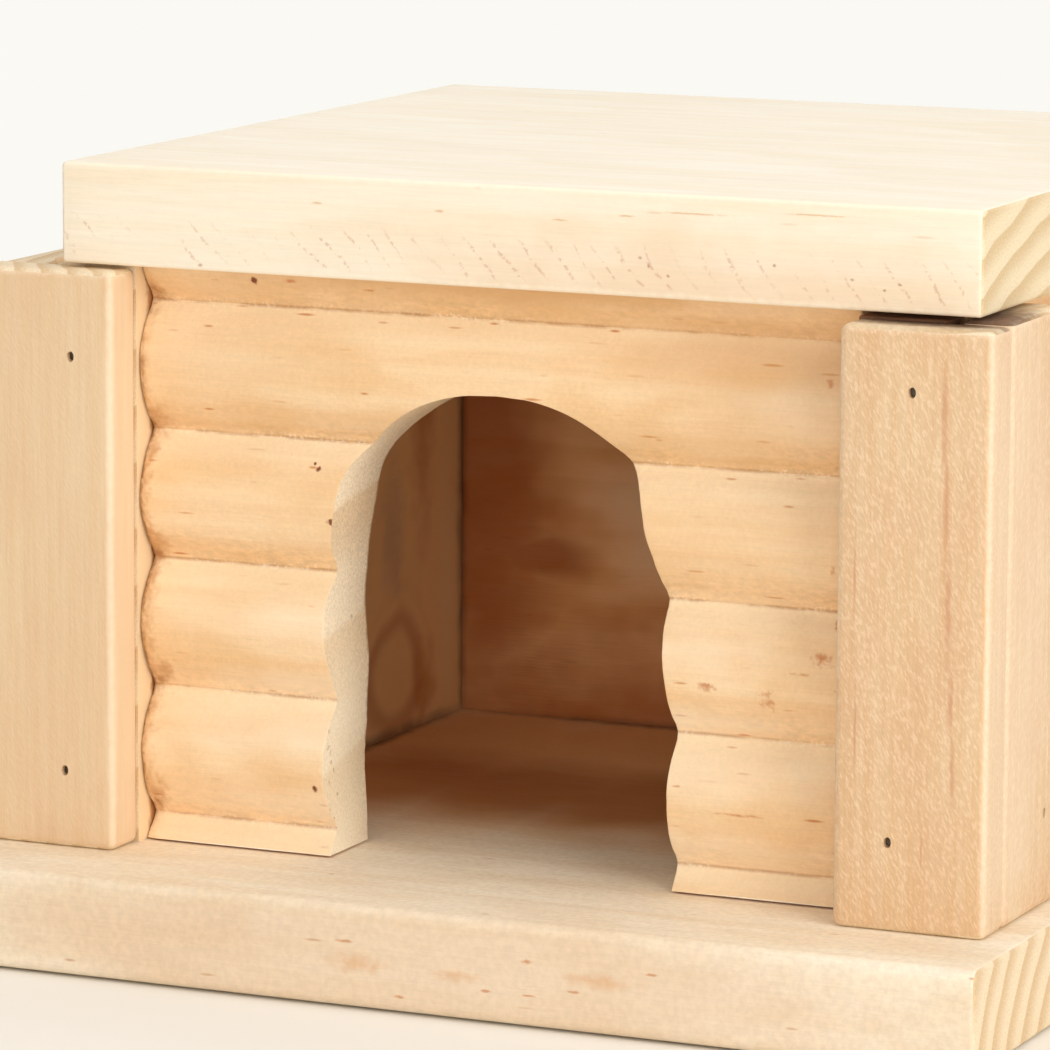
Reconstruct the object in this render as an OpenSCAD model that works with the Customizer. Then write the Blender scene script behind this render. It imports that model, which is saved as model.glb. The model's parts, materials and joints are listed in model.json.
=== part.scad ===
// Small pet house of bare pine: four log-profiled walls on a base board with a doorstep,
// battens over the corners, an arched doorway and a loose flat roof that lifts off.
// Millimetres. +Z is up, the doorway faces -Y. The origin is under the middle of the base board.

/* [Base board] */
// Thickness of the base board
base_t = 18; // [12:0.5:24]
// Depth of the doorstep, from the front battens to the front edge
porch_d = 21; // [10:0.5:40]
// How far the base stands out past the side battens
base_side_lip = 6; // [0:0.5:15]
// How far the base stands out past the rear battens
base_rear_lip = 5; // [0:0.5:15]
// Rounding of the long edges of the base
base_round = 1.6; // [0.4:0.1:4]

/* [Walls] */
// Thickness of the wall boards, over the crests of the logs
wall_t = 18; // [15:0.5:24]
// Clear width inside, between the side walls
room_w = 136.8; // [120:0.2:180]
// Clear depth inside, between the front and back walls
room_d = 121; // [100:0.5:180]
// Height of the side and back walls
wall_h = 104.6; // [98:0.2:140]
// Hairline left over and under the front wall
front_wall_gap = 0.4; // [0.1:0.1:0.8]
// Hairline at the ends of the front and back walls
wall_end_gap = 0.3; // [0.1:0.1:0.8]

/* [Log profile] */
// Height of one log
log_pitch = 23.25; // [16:0.25:28]
// Depth of the grooves between the logs
log_relief = 6.2; // [3:0.1:8]
// Height of the lowest groove above the foot of the wall
groove_z = 4.8; // [1:0.1:12]

/* [Doorway] */
// Width of the doorway above its foot
door_w = 64.2; // [50:0.2:80]
// Width of the doorway at the floor
door_foot_w = 65.8; // [50:0.2:82]
// Height of the doorway at its crown
door_h = 85.2; // [60:0.2:90]
// Height at which the sides start to curve in
door_spring = 42; // [20:0.5:50]
// Squareness of the arch, where 2 is an ellipse
door_squareness = 2.35; // [2:0.05:3]
// How far the doorway lies off centre, towards +X
door_shift = 1.6; // [-6:0.1:6]

/* [Battens] */
// Thickness of the corner battens
batten_t = 9.6; // [6:0.1:14]
// Width of the battens on the side walls
side_batten_w = 27.5; // [22:0.5:36]
// Rounding of the long edges of the battens
batten_round = 2.4; // [0.5:0.1:2.8]
// Gap between the front right batten and the roof
gap_front_right = 1.6; // [0.5:0.1:5]
// Gap between the front left batten and the roof
gap_front_left = 0.8; // [0.5:0.1:5]
// Gap between the other battens and the roof
gap_other = 1.1; // [0.5:0.1:5]

/* [Roof] */
// Thickness of the roof board
roof_t = 18; // [12:0.5:24]
// How far the roof stands out past the side walls when centred
roof_side_lip = 0; // [0:0.5:8]
// How far the roof stands out past the front wall
roof_front_lip = 4.7; // [0:0.1:9]
// How far the roof stands out past the back wall
roof_rear_lip = 4; // [0:0.1:9]
// Rounding of the long edges of the roof
roof_round = 0.8; // [0.3:0.1:3]
// How far the loose roof has been pushed towards +X
roof_drift = 5.6; // [0:0.1:6]
// Play of each cleat beside its wall when the roof is centred
cleat_play = 6.2; // [6.2:0.1:12]
// Width of the cleats under the roof
cleat_w = 9.6; // [6:0.1:14]
// Height of the cleats
cleat_h = 14; // [8:0.5:20]
// Gap between each end of a cleat and the wall
cleat_end_gap = 6; // [1:0.5:20]
// Rounding of the long edges of the cleats
cleat_round = 0.8; // [0.3:0.1:3]

/* [Brads] */
// Diameter of a brad's shank
brad_d = 1.2; // [0.8:0.1:1.6]
// Diameter of a brad's head
brad_head_d = 1.6; // [1.2:0.1:2.4]
// Thickness of a brad's head
brad_head_t = 0.8; // [0.4:0.1:1.5]
// Depth of the head below the surface
brad_sink = 1.2; // [0.5:0.1:2]
// Length of the batten brads
batten_brad_l = 20; // [16:1:24]
// Length of the wall brads
wall_brad_l = 30; // [26:1:35]
// Length of the base brads
base_brad_l = 35; // [30:1:40]
// Length of the cleat brads
cleat_brad_l = 25; // [20:1:27]
// Radial clearance of a brad in its hole
brad_clear = 0.05; // [0.02:0.01:0.1]
// Distance from a batten's end to its brads
brad_end = 13; // [8:0.5:20]
// Distance from a side batten's inner edge to its brads
brad_edge = 7.5; // [5:0.5:9]
// Spacing of the base brads along a side wall
base_brad_pitch = 45; // [35:1:48]
// Spacing of the two base brads under the back wall
back_brad_pitch = 70; // [40:1:100]
// Spacing of the two brads in a cleat
cleat_brad_pitch = 70; // [40:1:78]

/* [Hidden] */
$fn = 48;

arch_steps = 48;   // straight stretches that make up the doorway's arch
cut_over = 1;      // how far a cut runs past the surface that it opens
tip_l = 1.6;       // length of a brad's point
tip_gap = 0.4;     // room left in a hole past a brad's point

// Plan: outer faces of the walls and battens
side_in_x = room_w / 2;
side_out_x = side_in_x + wall_t;
batten_out_x = side_out_x + batten_t;
side_len = room_d + 2 * wall_t;
base_w = 2 * (batten_out_x + base_side_lip);
base_d = porch_d + 2 * batten_t + side_len + base_rear_lip;
front_batten_y = porch_d - base_d / 2;
front_y = front_batten_y + batten_t;
back_y = front_y + side_len;
back_batten_y = back_y + batten_t;
mid_y = (front_y + back_y) / 2;

// Heights
front_wall_h = wall_h - 2 * front_wall_gap;
roof_z = base_t + wall_h;

// Log profile: one arc for each log, meeting its neighbours in the grooves
log_r = (pow(log_pitch, 2) / 4 + pow(log_relief, 2)) / (2 * log_relief);
whole_logs = floor((front_wall_h - groove_z) / log_pitch);
function log_mid_z(i) = base_t + groove_z + (i + 0.5) * log_pitch;
holding_logs = [log_mid_z(0), log_mid_z(whole_logs - 1)];

// Battens: the front and back ones cover the side walls' ends and the side battens' edges
end_batten_w = wall_t + batten_t;

// Roof and its cleats, as the loose roof lies
roof_w = 2 * (side_out_x + roof_side_lip);
roof_d = side_len + roof_front_lip + roof_rear_lip;
roof_mid_y = mid_y + (roof_rear_lip - roof_front_lip) / 2;
cleat_l = room_d - 2 * cleat_end_gap;
cleat_mid_x = side_in_x - cleat_play - cleat_w / 2;

// Middle of each leg of the front wall, beside the doorway's foot
slab_mid = log_relief + (wall_t - log_relief) / 2;
leg_right_x = (door_shift + door_foot_w / 2 + side_in_x) / 2;
leg_left_x = (door_shift - door_foot_w / 2 - side_in_x) / 2;
side_mid_x = side_in_x + (wall_t - log_relief) / 2;

// Places of the brads, each as [point on the surface, turn that sends -Z into the wood].
// The front brads were driven by hand, so each is a little off its mark, as [x, z].
into_back = [90, 0, 0];
into_front = [-90, 0, 0];
into_left = [0, 90, 0];
into_right = [0, -90, 0];
into_top = [180, 0, 0];
stray_right_high = [4.2, 2.1];
stray_right_low = [1, 2.4];
stray_left_high = [0.8, -2.2];
stray_left_low = [-0.8, 1];

function batten_high_z(gap) = roof_z - gap - brad_end;
function front_place(side, z, stray) =
  [[side * (side_in_x + wall_t / 2) + stray[0], front_batten_y, z + stray[1]], into_back];

front_brads_right = [
  front_place(1, batten_high_z(gap_front_right), stray_right_high),
  front_place(1, base_t + brad_end, stray_right_low)
];
front_brads_left = [
  front_place(-1, batten_high_z(gap_front_left), stray_left_high),
  front_place(-1, base_t + brad_end, stray_left_low)
];
back_brads = [for (side = [-1, 1], z = [base_t + brad_end, batten_high_z(gap_other)])
  [[side * (side_in_x + wall_t / 2), back_batten_y, z], into_front]];
side_brads_right = [for (y = [front_y + side_batten_w - brad_edge, back_y - side_batten_w + brad_edge],
                         z = holding_logs) [[batten_out_x, y, z], into_left]];
side_brads_left = [for (p = side_brads_right) [[-p[0][0], p[0][1], p[0][2]], into_right]];
wall_brads_right = [for (y = [front_y + slab_mid, back_y - slab_mid], z = holding_logs)
  [[side_out_x, y, z], into_left]];
wall_brads_left = [for (p = wall_brads_right) [[-p[0][0], p[0][1], p[0][2]], into_right]];
base_brads_at = concat(
  [for (x = [-side_mid_x, side_mid_x], i = [-1 : 1]) [[x, mid_y + i * base_brad_pitch, 0], into_top]],
  [for (x = [leg_left_x, leg_right_x]) [[x, front_y + slab_mid, 0], into_top]],
  [for (i = [-0.5, 0.5]) [[i * back_brad_pitch, back_y - slab_mid, 0], into_top]]
);
cleat_brads_at = [for (x = [-cleat_mid_x, cleat_mid_x], i = [-0.5, 0.5])
  [[roof_drift + x, mid_y + i * cleat_brad_pitch, roof_z - cleat_h], into_top]];

pine_log = [0.94, 0.79, 0.62];
pine_batten = [0.90, 0.77, 0.62];
pine_roof = [0.98, 0.92, 0.82];
pine_base = [0.91, 0.81, 0.69];
steel = [0.60, 0.60, 0.62];

// A rectangle [w, h] with its corner on the origin and four round corners
module round_section(w, h, r) {
  translate([r, 0]) square([w - 2 * r, h]);
  translate([0, r]) square([w, h - 2 * r]);
  for (x = [r, w - r], y = [r, h - r]) {
    translate([x, y]) circle(r);
  }
}

// A board along X, centred on X and Y and standing on Z = 0
module board_along_x(l, w, t, r) {
  rotate([90, 0, 90])
    translate([-w / 2, 0, -l / 2])
      linear_extrude(l) round_section(w, t, r);
}

// An upright batten with its back face on Y = 0 and its front face on Y = -batten_t
module batten(w, h) {
  translate([-w / 2, -batten_t, 0])
    linear_extrude(h) round_section(w, batten_t, batten_round);
}

// Section of a wall board: X is the depth behind the crests, Y the height
module log_section(h) {
  intersection() {
    square([wall_t, h]);
    union() {
      translate([log_relief, 0]) square([wall_t - log_relief, h]);
      for (i = [-1 : ceil(h / log_pitch)]) {
        translate([log_r, groove_z + (i + 0.5) * log_pitch]) circle(log_r, $fn = 96);
      }
    }
  }
}

// A wall board along X with its crests on Y = 0, facing -Y
module log_wall(l, h) {
  rotate([90, 0, 90])
    translate([0, 0, -l / 2])
      linear_extrude(l) log_section(h);
}

// Outline of the doorway: X across, Y up from the floor
module door_outline() {
  power = 2 / door_squareness;
  rise = door_h - door_spring;
  arch = [for (i = [0 : arch_steps])
    let (a = 180 * i / arch_steps)
    [sign(cos(a)) * pow(abs(cos(a)), power) * door_w / 2, door_spring + pow(sin(a), power) * rise]];
  polygon(concat([[door_foot_w / 2, -cut_over]], arch, [[-door_foot_w / 2, -cut_over]]));
}

// A brad driven along -Z from the surface at Z = 0
module brad(l) {
  translate([0, 0, -brad_sink - brad_head_t]) cylinder(brad_head_t, d = brad_head_d);
  translate([0, 0, tip_l - brad_sink - l]) cylinder(l - tip_l - brad_head_t, d = brad_d);
  translate([0, 0, -brad_sink - l]) cylinder(tip_l, d1 = brad_d / 4, d2 = brad_d);
}

// The hole that a brad leaves, open at the surface
module brad_hole(l) {
  translate([0, 0, -brad_sink - brad_head_t])
    cylinder(brad_sink + brad_head_t + cut_over, d = brad_head_d + 2 * brad_clear);
  translate([0, 0, -brad_sink - l - tip_gap])
    cylinder(l + tip_gap, d = brad_d + 2 * brad_clear);
}

module place_all(places) {
  for (p = places) {
    translate(p[0]) rotate(p[1]) children();
  }
}

module wall_holes() {
  place_all(concat(wall_brads_left, wall_brads_right)) brad_hole(wall_brad_l);
  place_all(base_brads_at) brad_hole(base_brad_l);
}

module batten_holes() {
  places = concat(front_brads_left, front_brads_right, back_brads, side_brads_left, side_brads_right);
  place_all(places) brad_hole(batten_brad_l);
}

module base_board() {
  color(pine_base) difference() {
    board_along_x(base_w, base_d, base_t, base_round);
    place_all(base_brads_at) brad_hole(base_brad_l);
  }
}

module front_wall() {
  color(pine_log) difference() {
    translate([0, front_y, base_t + front_wall_gap])
      log_wall(room_w - 2 * wall_end_gap, front_wall_h);
    translate([door_shift, front_y + wall_t + cut_over, base_t])
      rotate([90, 0, 0]) linear_extrude(wall_t + 2 * cut_over) door_outline();
    wall_holes();
  }
}

module back_wall() {
  color(pine_log) difference() {
    translate([0, back_y, base_t]) rotate([0, 0, 180]) log_wall(room_w - 2 * wall_end_gap, wall_h);
    wall_holes();
  }
}

// side is -1 for the left wall and 1 for the right one
module side_wall(side) {
  color(pine_log) difference() {
    translate([side * side_out_x, mid_y, base_t]) rotate([0, 0, side * 90]) log_wall(side_len, wall_h);
    wall_holes();
    batten_holes();
  }
}

module front_batten(side, gap) {
  color(pine_batten) difference() {
    translate([side * (side_in_x + end_batten_w / 2), front_y, base_t]) batten(end_batten_w, wall_h - gap);
    batten_holes();
  }
}

module back_batten(side) {
  color(pine_batten) difference() {
    translate([side * (side_in_x + end_batten_w / 2), back_y, base_t])
      rotate([0, 0, 180]) batten(end_batten_w, wall_h - gap_other);
    batten_holes();
  }
}

// end is -1 for the front corner and 1 for the rear one
module side_batten(side, end) {
  y = mid_y + end * (side_len - side_batten_w) / 2;
  color(pine_batten) difference() {
    translate([side * side_out_x, y, base_t])
      rotate([0, 0, side * 90]) batten(side_batten_w, wall_h - gap_other);
    batten_holes();
  }
}

module roof_board() {
  color(pine_roof) difference() {
    translate([roof_drift, roof_mid_y, roof_z]) board_along_x(roof_w, roof_d, roof_t, roof_round);
    place_all(cleat_brads_at) brad_hole(cleat_brad_l);
  }
}

module roof_cleat(side) {
  color(pine_roof) difference() {
    translate([roof_drift + side * cleat_mid_x, mid_y, roof_z - cleat_h])
      rotate([0, 0, 90]) board_along_x(cleat_l, cleat_w, cleat_h, cleat_round);
    place_all(cleat_brads_at) brad_hole(cleat_brad_l);
  }
}

module front_batten_brads() {
  color(steel) place_all(concat(front_brads_left, front_brads_right)) brad(batten_brad_l);
}

module side_batten_brads() {
  color(steel) place_all(concat(side_brads_left, side_brads_right)) brad(batten_brad_l);
}

module back_batten_brads() {
  color(steel) place_all(back_brads) brad(batten_brad_l);
}

module wall_brads() {
  color(steel) place_all(concat(wall_brads_left, wall_brads_right)) brad(wall_brad_l);
}

module base_brads() {
  color(steel) place_all(base_brads_at) brad(base_brad_l);
}

module cleat_brads() {
  color(steel) place_all(cleat_brads_at) brad(cleat_brad_l);
}

base_board();
front_wall();
back_wall();
side_wall(-1);  // side_wall_left
side_wall(1);  // side_wall_right
front_batten(-1, gap_front_left);  // front_batten_left
front_batten(1, gap_front_right);  // front_batten_right
back_batten(-1);  // back_batten_left
back_batten(1);  // back_batten_right
side_batten(-1, -1);  // side_batten_front_left
side_batten(1, -1);  // side_batten_front_right
side_batten(-1, 1);  // side_batten_rear_left
side_batten(1, 1);  // side_batten_rear_right
roof_board();
roof_cleat(-1);  // roof_cleat_left
roof_cleat(1);  // roof_cleat_right
front_batten_brads();
side_batten_brads();
back_batten_brads();
wall_brads();
base_brads();
cleat_brads();
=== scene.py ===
"""Dresses the wooden hamster house: milled, sawn and end-grain pine, brads, studio and camera.

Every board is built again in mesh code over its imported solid, with eased arrises and the small
unevenness of real timber. Sizes are in millimetres unless a name ends in _m, places are in the row
frame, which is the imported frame, and +X is the grain direction in every timber pattern.
"""

import json
import logging
import math
from dataclasses import dataclass, field
from enum import Enum
from typing import Iterable, Optional, Protocol, Sequence, Union

import bmesh
import bpy
from mathutils import Matrix, Vector, noise


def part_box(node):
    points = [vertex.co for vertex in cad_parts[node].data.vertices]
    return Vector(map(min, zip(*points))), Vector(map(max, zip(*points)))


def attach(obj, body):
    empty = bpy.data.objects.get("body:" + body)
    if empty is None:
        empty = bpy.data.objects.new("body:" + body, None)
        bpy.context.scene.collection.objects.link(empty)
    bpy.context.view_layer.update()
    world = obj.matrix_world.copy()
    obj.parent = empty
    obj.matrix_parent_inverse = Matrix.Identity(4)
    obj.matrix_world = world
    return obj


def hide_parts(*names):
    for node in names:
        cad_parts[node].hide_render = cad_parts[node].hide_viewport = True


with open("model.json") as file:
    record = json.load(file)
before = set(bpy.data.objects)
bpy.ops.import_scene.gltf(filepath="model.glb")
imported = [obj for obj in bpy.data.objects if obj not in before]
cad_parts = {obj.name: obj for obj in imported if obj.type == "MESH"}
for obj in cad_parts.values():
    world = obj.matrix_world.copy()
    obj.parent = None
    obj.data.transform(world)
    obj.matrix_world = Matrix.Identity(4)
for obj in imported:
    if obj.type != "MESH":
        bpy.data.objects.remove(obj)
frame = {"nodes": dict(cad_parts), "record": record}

LOG = logging.getLogger("hamster_house")
MM = 0.001
RELIEF_M = 0.12 * MM
SHARP_DEGREES = 35.0
WELD_MM = 0.001
Feed = Union[bpy.types.Node, bpy.types.NodeSocket, float, Sequence[float]]
Feeds = Union[Sequence[Feed], dict]
Places = tuple[tuple[Sequence[float], Sequence[float]], ...]
SOFT = {"interpolation_type": "SMOOTHSTEP"}
PAINT = {"data_type": "RGBA"}
TIMES = {"operation": "MULTIPLY"}
LESS = {"operation": "SUBTRACT"}
PLUS = {"operation": "ADD"}
OVER = {"operation": "DIVIDE"}
GAIN = {"operation": "SCALE"}
FAR = {"operation": "LENGTH"}


# ---------------------------------------------------------------- small helpers


class Grain(Enum):
    """Direction that the grain of a board runs in, as the number of its axis."""

    ALONG_X = 0
    ALONG_Y = 1
    ALONG_Z = 2


def hex_to_linear(colour: str) -> tuple[float, float, float, float]:
    """Turn an sRGB hex colour into linear RGBA.

    Args:
        colour: six hex digits, such as "F0C79B".

    Returns:
        The colour as linear red, green, blue and an alpha of 1.
    """
    parts = []
    for start in (0, 2, 4):
        value = int(colour[start:start + 2], 16) / 255
        parts.append(value / 12.92 if value <= 0.04045 else ((value + 0.055) / 1.055) ** 2.4)
    return (parts[0], parts[1], parts[2], 1.0)


def wander(x: float, y: float, z: float, seed: float = 0.0) -> float:
    """Smooth repeatable noise between about -1 and 1 at a point given in its own units."""
    return noise.noise(Vector((x + seed * 13.7, y - seed * 7.1, z + seed * 3.3)))


def box_mm(node: str) -> tuple[Vector, Vector]:
    """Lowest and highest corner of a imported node, in millimetres."""
    low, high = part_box(node)
    return low / MM, high / MM


def add(tree: bpy.types.NodeTree, kind: str, feeds: Feeds = (), **settings) -> bpy.types.Node:
    """Add one shader node with its settings and links.

    Args:
        tree: the node tree that gets it.
        kind: the node's type name without "ShaderNode".
        feeds: what goes into its inputs, in their order or by name: a node, whose first output in use
            is taken, an output socket or a plain value.
        **settings: the node's own settings.

    Returns:
        The new node.
    """
    node = tree.nodes.new("ShaderNode" + kind)
    for name, value in settings.items():
        setattr(node, name, value)
    for key, value in feeds.items() if isinstance(feeds, dict) else enumerate(feeds):
        if isinstance(value, bpy.types.Node):
            value = next(socket for socket in value.outputs if socket.enabled)
        if isinstance(value, bpy.types.NodeSocket):
            tree.links.new(value, node.inputs[key])
        else:
            node.inputs[key].default_value = value
    return node


def blank_material(name: str) -> bpy.types.Material:
    """Make a material with an empty node tree.

    Args:
        name: the material's name.

    Returns:
        The material.
    """
    mat = bpy.data.materials.new(name)
    mat.use_nodes = True
    mat.node_tree.nodes.clear()
    return mat


# ---------------------------------------------------------------- timber


@dataclass
class Workpiece:
    """The material of one board while it is being made.

    Attributes:
        mat: the material.
        tree: its node tree.
        row: the shaded point in the row frame, in millimetres.
        timber: the same point turned so that the grain runs along +X.
        relief: heights that make the surface's relief together.
    """

    mat: bpy.types.Material
    tree: bpy.types.NodeTree
    row: bpy.types.Node
    timber: bpy.types.Node
    relief: list[bpy.types.Node] = field(default_factory=list)

    @classmethod
    def begin(cls, name: str, grain: Grain, shift: Sequence[float]) -> "Workpiece":
        """Start a material with its two frames.

        Args:
            name: the material's name.
            grain: direction of the grain.
            shift: how far the pattern is moved, in millimetres, so that no two boards are alike.

        Returns:
            The workpiece.
        """
        mat = blank_material(name)
        tree = mat.node_tree
        place = add(tree, "TexCoord").outputs["Object"]
        row = add(tree, "VectorMath", {0: place, "Scale": 1 / MM}, **GAIN)
        quarter = math.pi / 2
        turn = ((0.0, 0.0, 0.0), (0.0, 0.0, -quarter), (0.0, quarter, 0.0))[grain.value]
        timber = add(tree, "Mapping", {"Vector": row, "Location": shift, "Rotation": turn})
        return cls(mat, tree, row, timber)

    def along(self, width: float, times: float, detail: float = 2.0, rough: float = 0.5) -> bpy.types.Node:
        """Uneven pattern drawn out along the grain.

        Args:
            width: of its patches across the grain, in millimetres.
            times: how many times longer they are.
            detail: octaves of finer pattern in it.
            rough: how much these count.

        Returns:
            A node that gives about 0.3 to 0.7.
        """
        over = 1 / width
        place = add(self.tree, "VectorMath", (self.timber, (over / times, over, over)), **TIMES)
        return add(self.tree, "TexNoise", {"Vector": place, "Scale": 1.0, "Detail": detail,
                                           "Roughness": rough})

    def year_rings(self, width: float, pith: Sequence[float], sway: float, lean: float = 0.0,
                   squeeze: float = 0.25) -> bpy.types.Node:
        """Growth rings round a pith, rising from 0 to 1 over each year.

        Args:
            width: of a year's growth, in millimetres.
            pith: where the tree's middle lies across the board, in the timber frame's Y and Z.
            sway: how much the rings stray, in radians of a turn.
            lean: how much the pith leans along the board, which draws the rings out into arches.
            squeeze: share of the length that the straying sees, so that it is long drawn.

        Returns:
            The rings.
        """
        tilt = (0.0, math.atan(lean / squeeze), 0.0)
        place = add(self.tree, "Mapping", {"Vector": self.timber, "Location": (0.0, -pith[0], -pith[1]),
                                           "Rotation": tilt, "Scale": (squeeze, 1.0, 1.0)})
        # A wave texture makes a ring each tau / 20 of its own units.
        return add(self.tree, "TexWave", {"Vector": place, "Scale": math.tau / 20 / width, "Distortion": sway,
                                          "Detail": 2.0, "Detail Scale": 1.2, "Detail Roughness": 0.45},
                   wave_type="RINGS", rings_direction="X", wave_profile="SAW")

    def swing(self, colour: Feed, pattern: Feed, contrast: float) -> bpy.types.Node:
        """Lighten and darken a colour by a pattern of about 0.3 to 0.7.

        Args:
            colour: the colour.
            pattern: the pattern.
            contrast: share by which it goes up and down.

        Returns:
            The new colour.
        """
        gain = add(self.tree, "MapRange", (pattern, 0.27, 0.73, 1 - contrast, 1 + contrast), **SOFT)
        return add(self.tree, "VectorMath", {0: colour, "Scale": gain}, **GAIN)

    def end(self, colour: Feed, roughness: float, bump: float) -> bpy.types.Material:
        """Finish the material with a rough dielectric surface.

        Args:
            colour: its colour.
            roughness: its middle roughness. Bare softwood is nearly matt.
            bump: strength of the relief, which is 0.12 mm high at 1.

        Returns:
            The material.
        """
        tree = self.tree
        height = self.relief[0]
        for other in self.relief[1:]:
            height = add(tree, "Math", (height, other), **PLUS)
        normal = add(tree, "Bump", {"Height": height, "Strength": bump, "Distance": RELIEF_M})
        uneven = add(tree, "MapRange", (self.along(1.6, 8.0), 0.3, 0.7, roughness - 0.06, roughness + 0.08),
                     **SOFT)
        surface = add(tree, "BsdfPrincipled", {"Base Color": colour, "Roughness": uneven, "IOR": 1.5,
                                               "Specular IOR Level": 0.3, "Normal": normal})
        add(tree, "OutputMaterial", (surface,))
        return self.mat


class Feature(Protocol):
    """Something that changes the colour of a board, such as a knot or a saw mark."""

    def apply(self, work: Workpiece, colour: bpy.types.Node) -> bpy.types.Node:
        """Put the feature on a board.

        Args:
            work: the board's material.
            colour: its colour so far.

        Returns:
            The colour with the feature in it.
        """


@dataclass(frozen=True)
class Spots:
    """Natural marks of one kind, each an ellipse with a ragged edge.

    Attributes:
        colour: of the marks.
        strength: share of that colour in the middle of a mark.
        places: for each its centre and half sizes, in millimetres in the row frame.
        ragged: how far the edges stray, as a share of the half sizes.
        wave: length of the edges' waves, in millimetres.
        core: share of the half size where a mark starts to fade.
    """

    colour: str
    strength: float
    places: Places
    ragged: float = 1.4
    wave: float = 1.0
    core: float = 0.4

    def apply(self, work: Workpiece, colour: bpy.types.Node) -> bpy.types.Node:
        """Put the marks on a board.

        Args:
            work: the board's material.
            colour: its colour so far.

        Returns:
            The colour with the marks.
        """
        tree = work.tree
        uneven = add(tree, "TexNoise", {"Vector": work.row, "Scale": 1 / self.wave}).outputs["Color"]
        stray = add(tree, "VectorMath", (uneven, (self.ragged,) * 3, (-self.ragged / 2,) * 3),
                    operation="MULTIPLY_ADD")
        nearest = None
        for centre, half in self.places:
            away = add(tree, "VectorMath", (work.row, centre), **LESS)
            share = add(tree, "VectorMath", (away, half), **OVER)
            far = add(tree, "VectorMath", (add(tree, "VectorMath", (share, stray), **PLUS),), **FAR)
            nearest = far if nearest is None else add(tree, "Math", (nearest, far), operation="MINIMUM")
        cover = add(tree, "MapRange", (nearest, self.core, 1.05, self.strength, 0.0), **SOFT)
        return add(tree, "Mix", {0: cover, "A": colour, "B": hex_to_linear(self.colour)}, **PAINT)


@dataclass(frozen=True)
class ResinCanals:
    """Thin brown dashes where the plane opened a resin canal, one in each cell of the pattern.

    Attributes:
        colour: of the resin.
        strength: share of that colour in the strongest dash.
        cell: length and width of a cell. The board's face meets the canals of one cell in five.
        half_width: of a dash.
        half_length: of the shortest and the longest dash.
    """

    colour: str = "BC8148"
    strength: float = 0.85
    cell: tuple[float, float] = (12.0, 3.0)
    half_width: float = 0.36
    half_length: tuple[float, float] = (1.1, 2.8)

    def apply(self, work: Workpiece, colour: bpy.types.Node) -> bpy.types.Node:
        """Put the dashes on a board.

        Args:
            work: the board's material.
            colour: its colour so far.

        Returns:
            The colour with the dashes.
        """
        tree = work.tree
        long, wide = self.cell
        cells = add(tree, "VectorMath", (work.timber, (1 / long, 1 / wide, 1 / wide)), **TIMES)
        spots = add(tree, "TexVoronoi", {"Vector": cells, "Scale": 1.0, "Randomness": 0.95})
        away = add(tree, "VectorMath", (cells, spots.outputs["Position"]), **LESS)
        away_mm = add(tree, "VectorMath", (away, (long, wide, wide)), **TIMES)
        part = add(tree, "SeparateXYZ", (away_mm,)).outputs
        pick = add(tree, "SeparateColor", (spots.outputs["Color"],)).outputs
        length = add(tree, "MapRange", (pick[0], 0.0, 1.0, *self.half_length))
        shape = add(tree, "CombineXYZ", (add(tree, "Math", (part[0], length), **OVER),
                                         add(tree, "Math", (part[1], self.half_width), **OVER),
                                         add(tree, "Math", (part[2], self.half_width), **OVER)))
        reach = add(tree, "VectorMath", (shape,), **FAR)
        depth = add(tree, "MapRange", (pick[1], 0.1, 0.9, 0.25 * self.strength, self.strength), **SOFT)
        dash = add(tree, "MapRange", (reach, 0.25, 1.0, 1.0, 0.0), **SOFT)
        cover = add(tree, "Math", (dash, depth), **TIMES)
        return add(tree, "Mix", {0: cover, "A": colour, "B": hex_to_linear(self.colour)}, **PAINT)


@dataclass(frozen=True)
class RaisedFibre:
    """Short slanted flecks, where a fine saw lifted the fibre and left it fuzzy.

    The real fibre ends are about 0.1 mm wide. They are drawn 0.36 mm wide, so that they show.

    Attributes:
        across: axis that the sawn face looks along.
        lean: degrees that the flecks lean from upright.
        width: of a fleck, in millimetres.
        times: how many times longer it is.
        strength: share of the pale colour in the strongest flecks.
        colour: the pale colour of a lifted fibre end.
    """

    across: Grain
    strength: float = 0.42
    lean: float = 25.0
    width: float = 0.36
    times: float = 3.0
    colour: str = "FFF3E2"

    def apply(self, work: Workpiece, colour: bpy.types.Node) -> bpy.types.Node:
        """Put the flecks and their relief on a board.

        Args:
            work: the board's material.
            colour: its colour so far.

        Returns:
            The colour with the flecks.
        """
        axis = tuple(float(number == self.across.value) for number in range(3))
        angle = math.radians(self.lean)
        turned = add(work.tree, "VectorRotate", {"Vector": work.row, "Axis": axis, "Angle": angle},
                     rotation_type="AXIS_ANGLE")
        over = 1 / self.width
        place = add(work.tree, "VectorMath", (turned, (over, over, over / self.times)), **TIMES)
        fleck = add(work.tree, "TexNoise", {"Vector": place, "Scale": 1.0, "Detail": 1.5})
        work.relief.append(fleck)
        cover = add(work.tree, "MapRange", (fleck, 0.48, 0.72, 0.0, self.strength), **SOFT)
        colour = add(work.tree, "Mix", {0: cover, "A": colour, "B": hex_to_linear(self.colour)}, **PAINT)
        return work.swing(colour, fleck, self.strength / 4)


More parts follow.
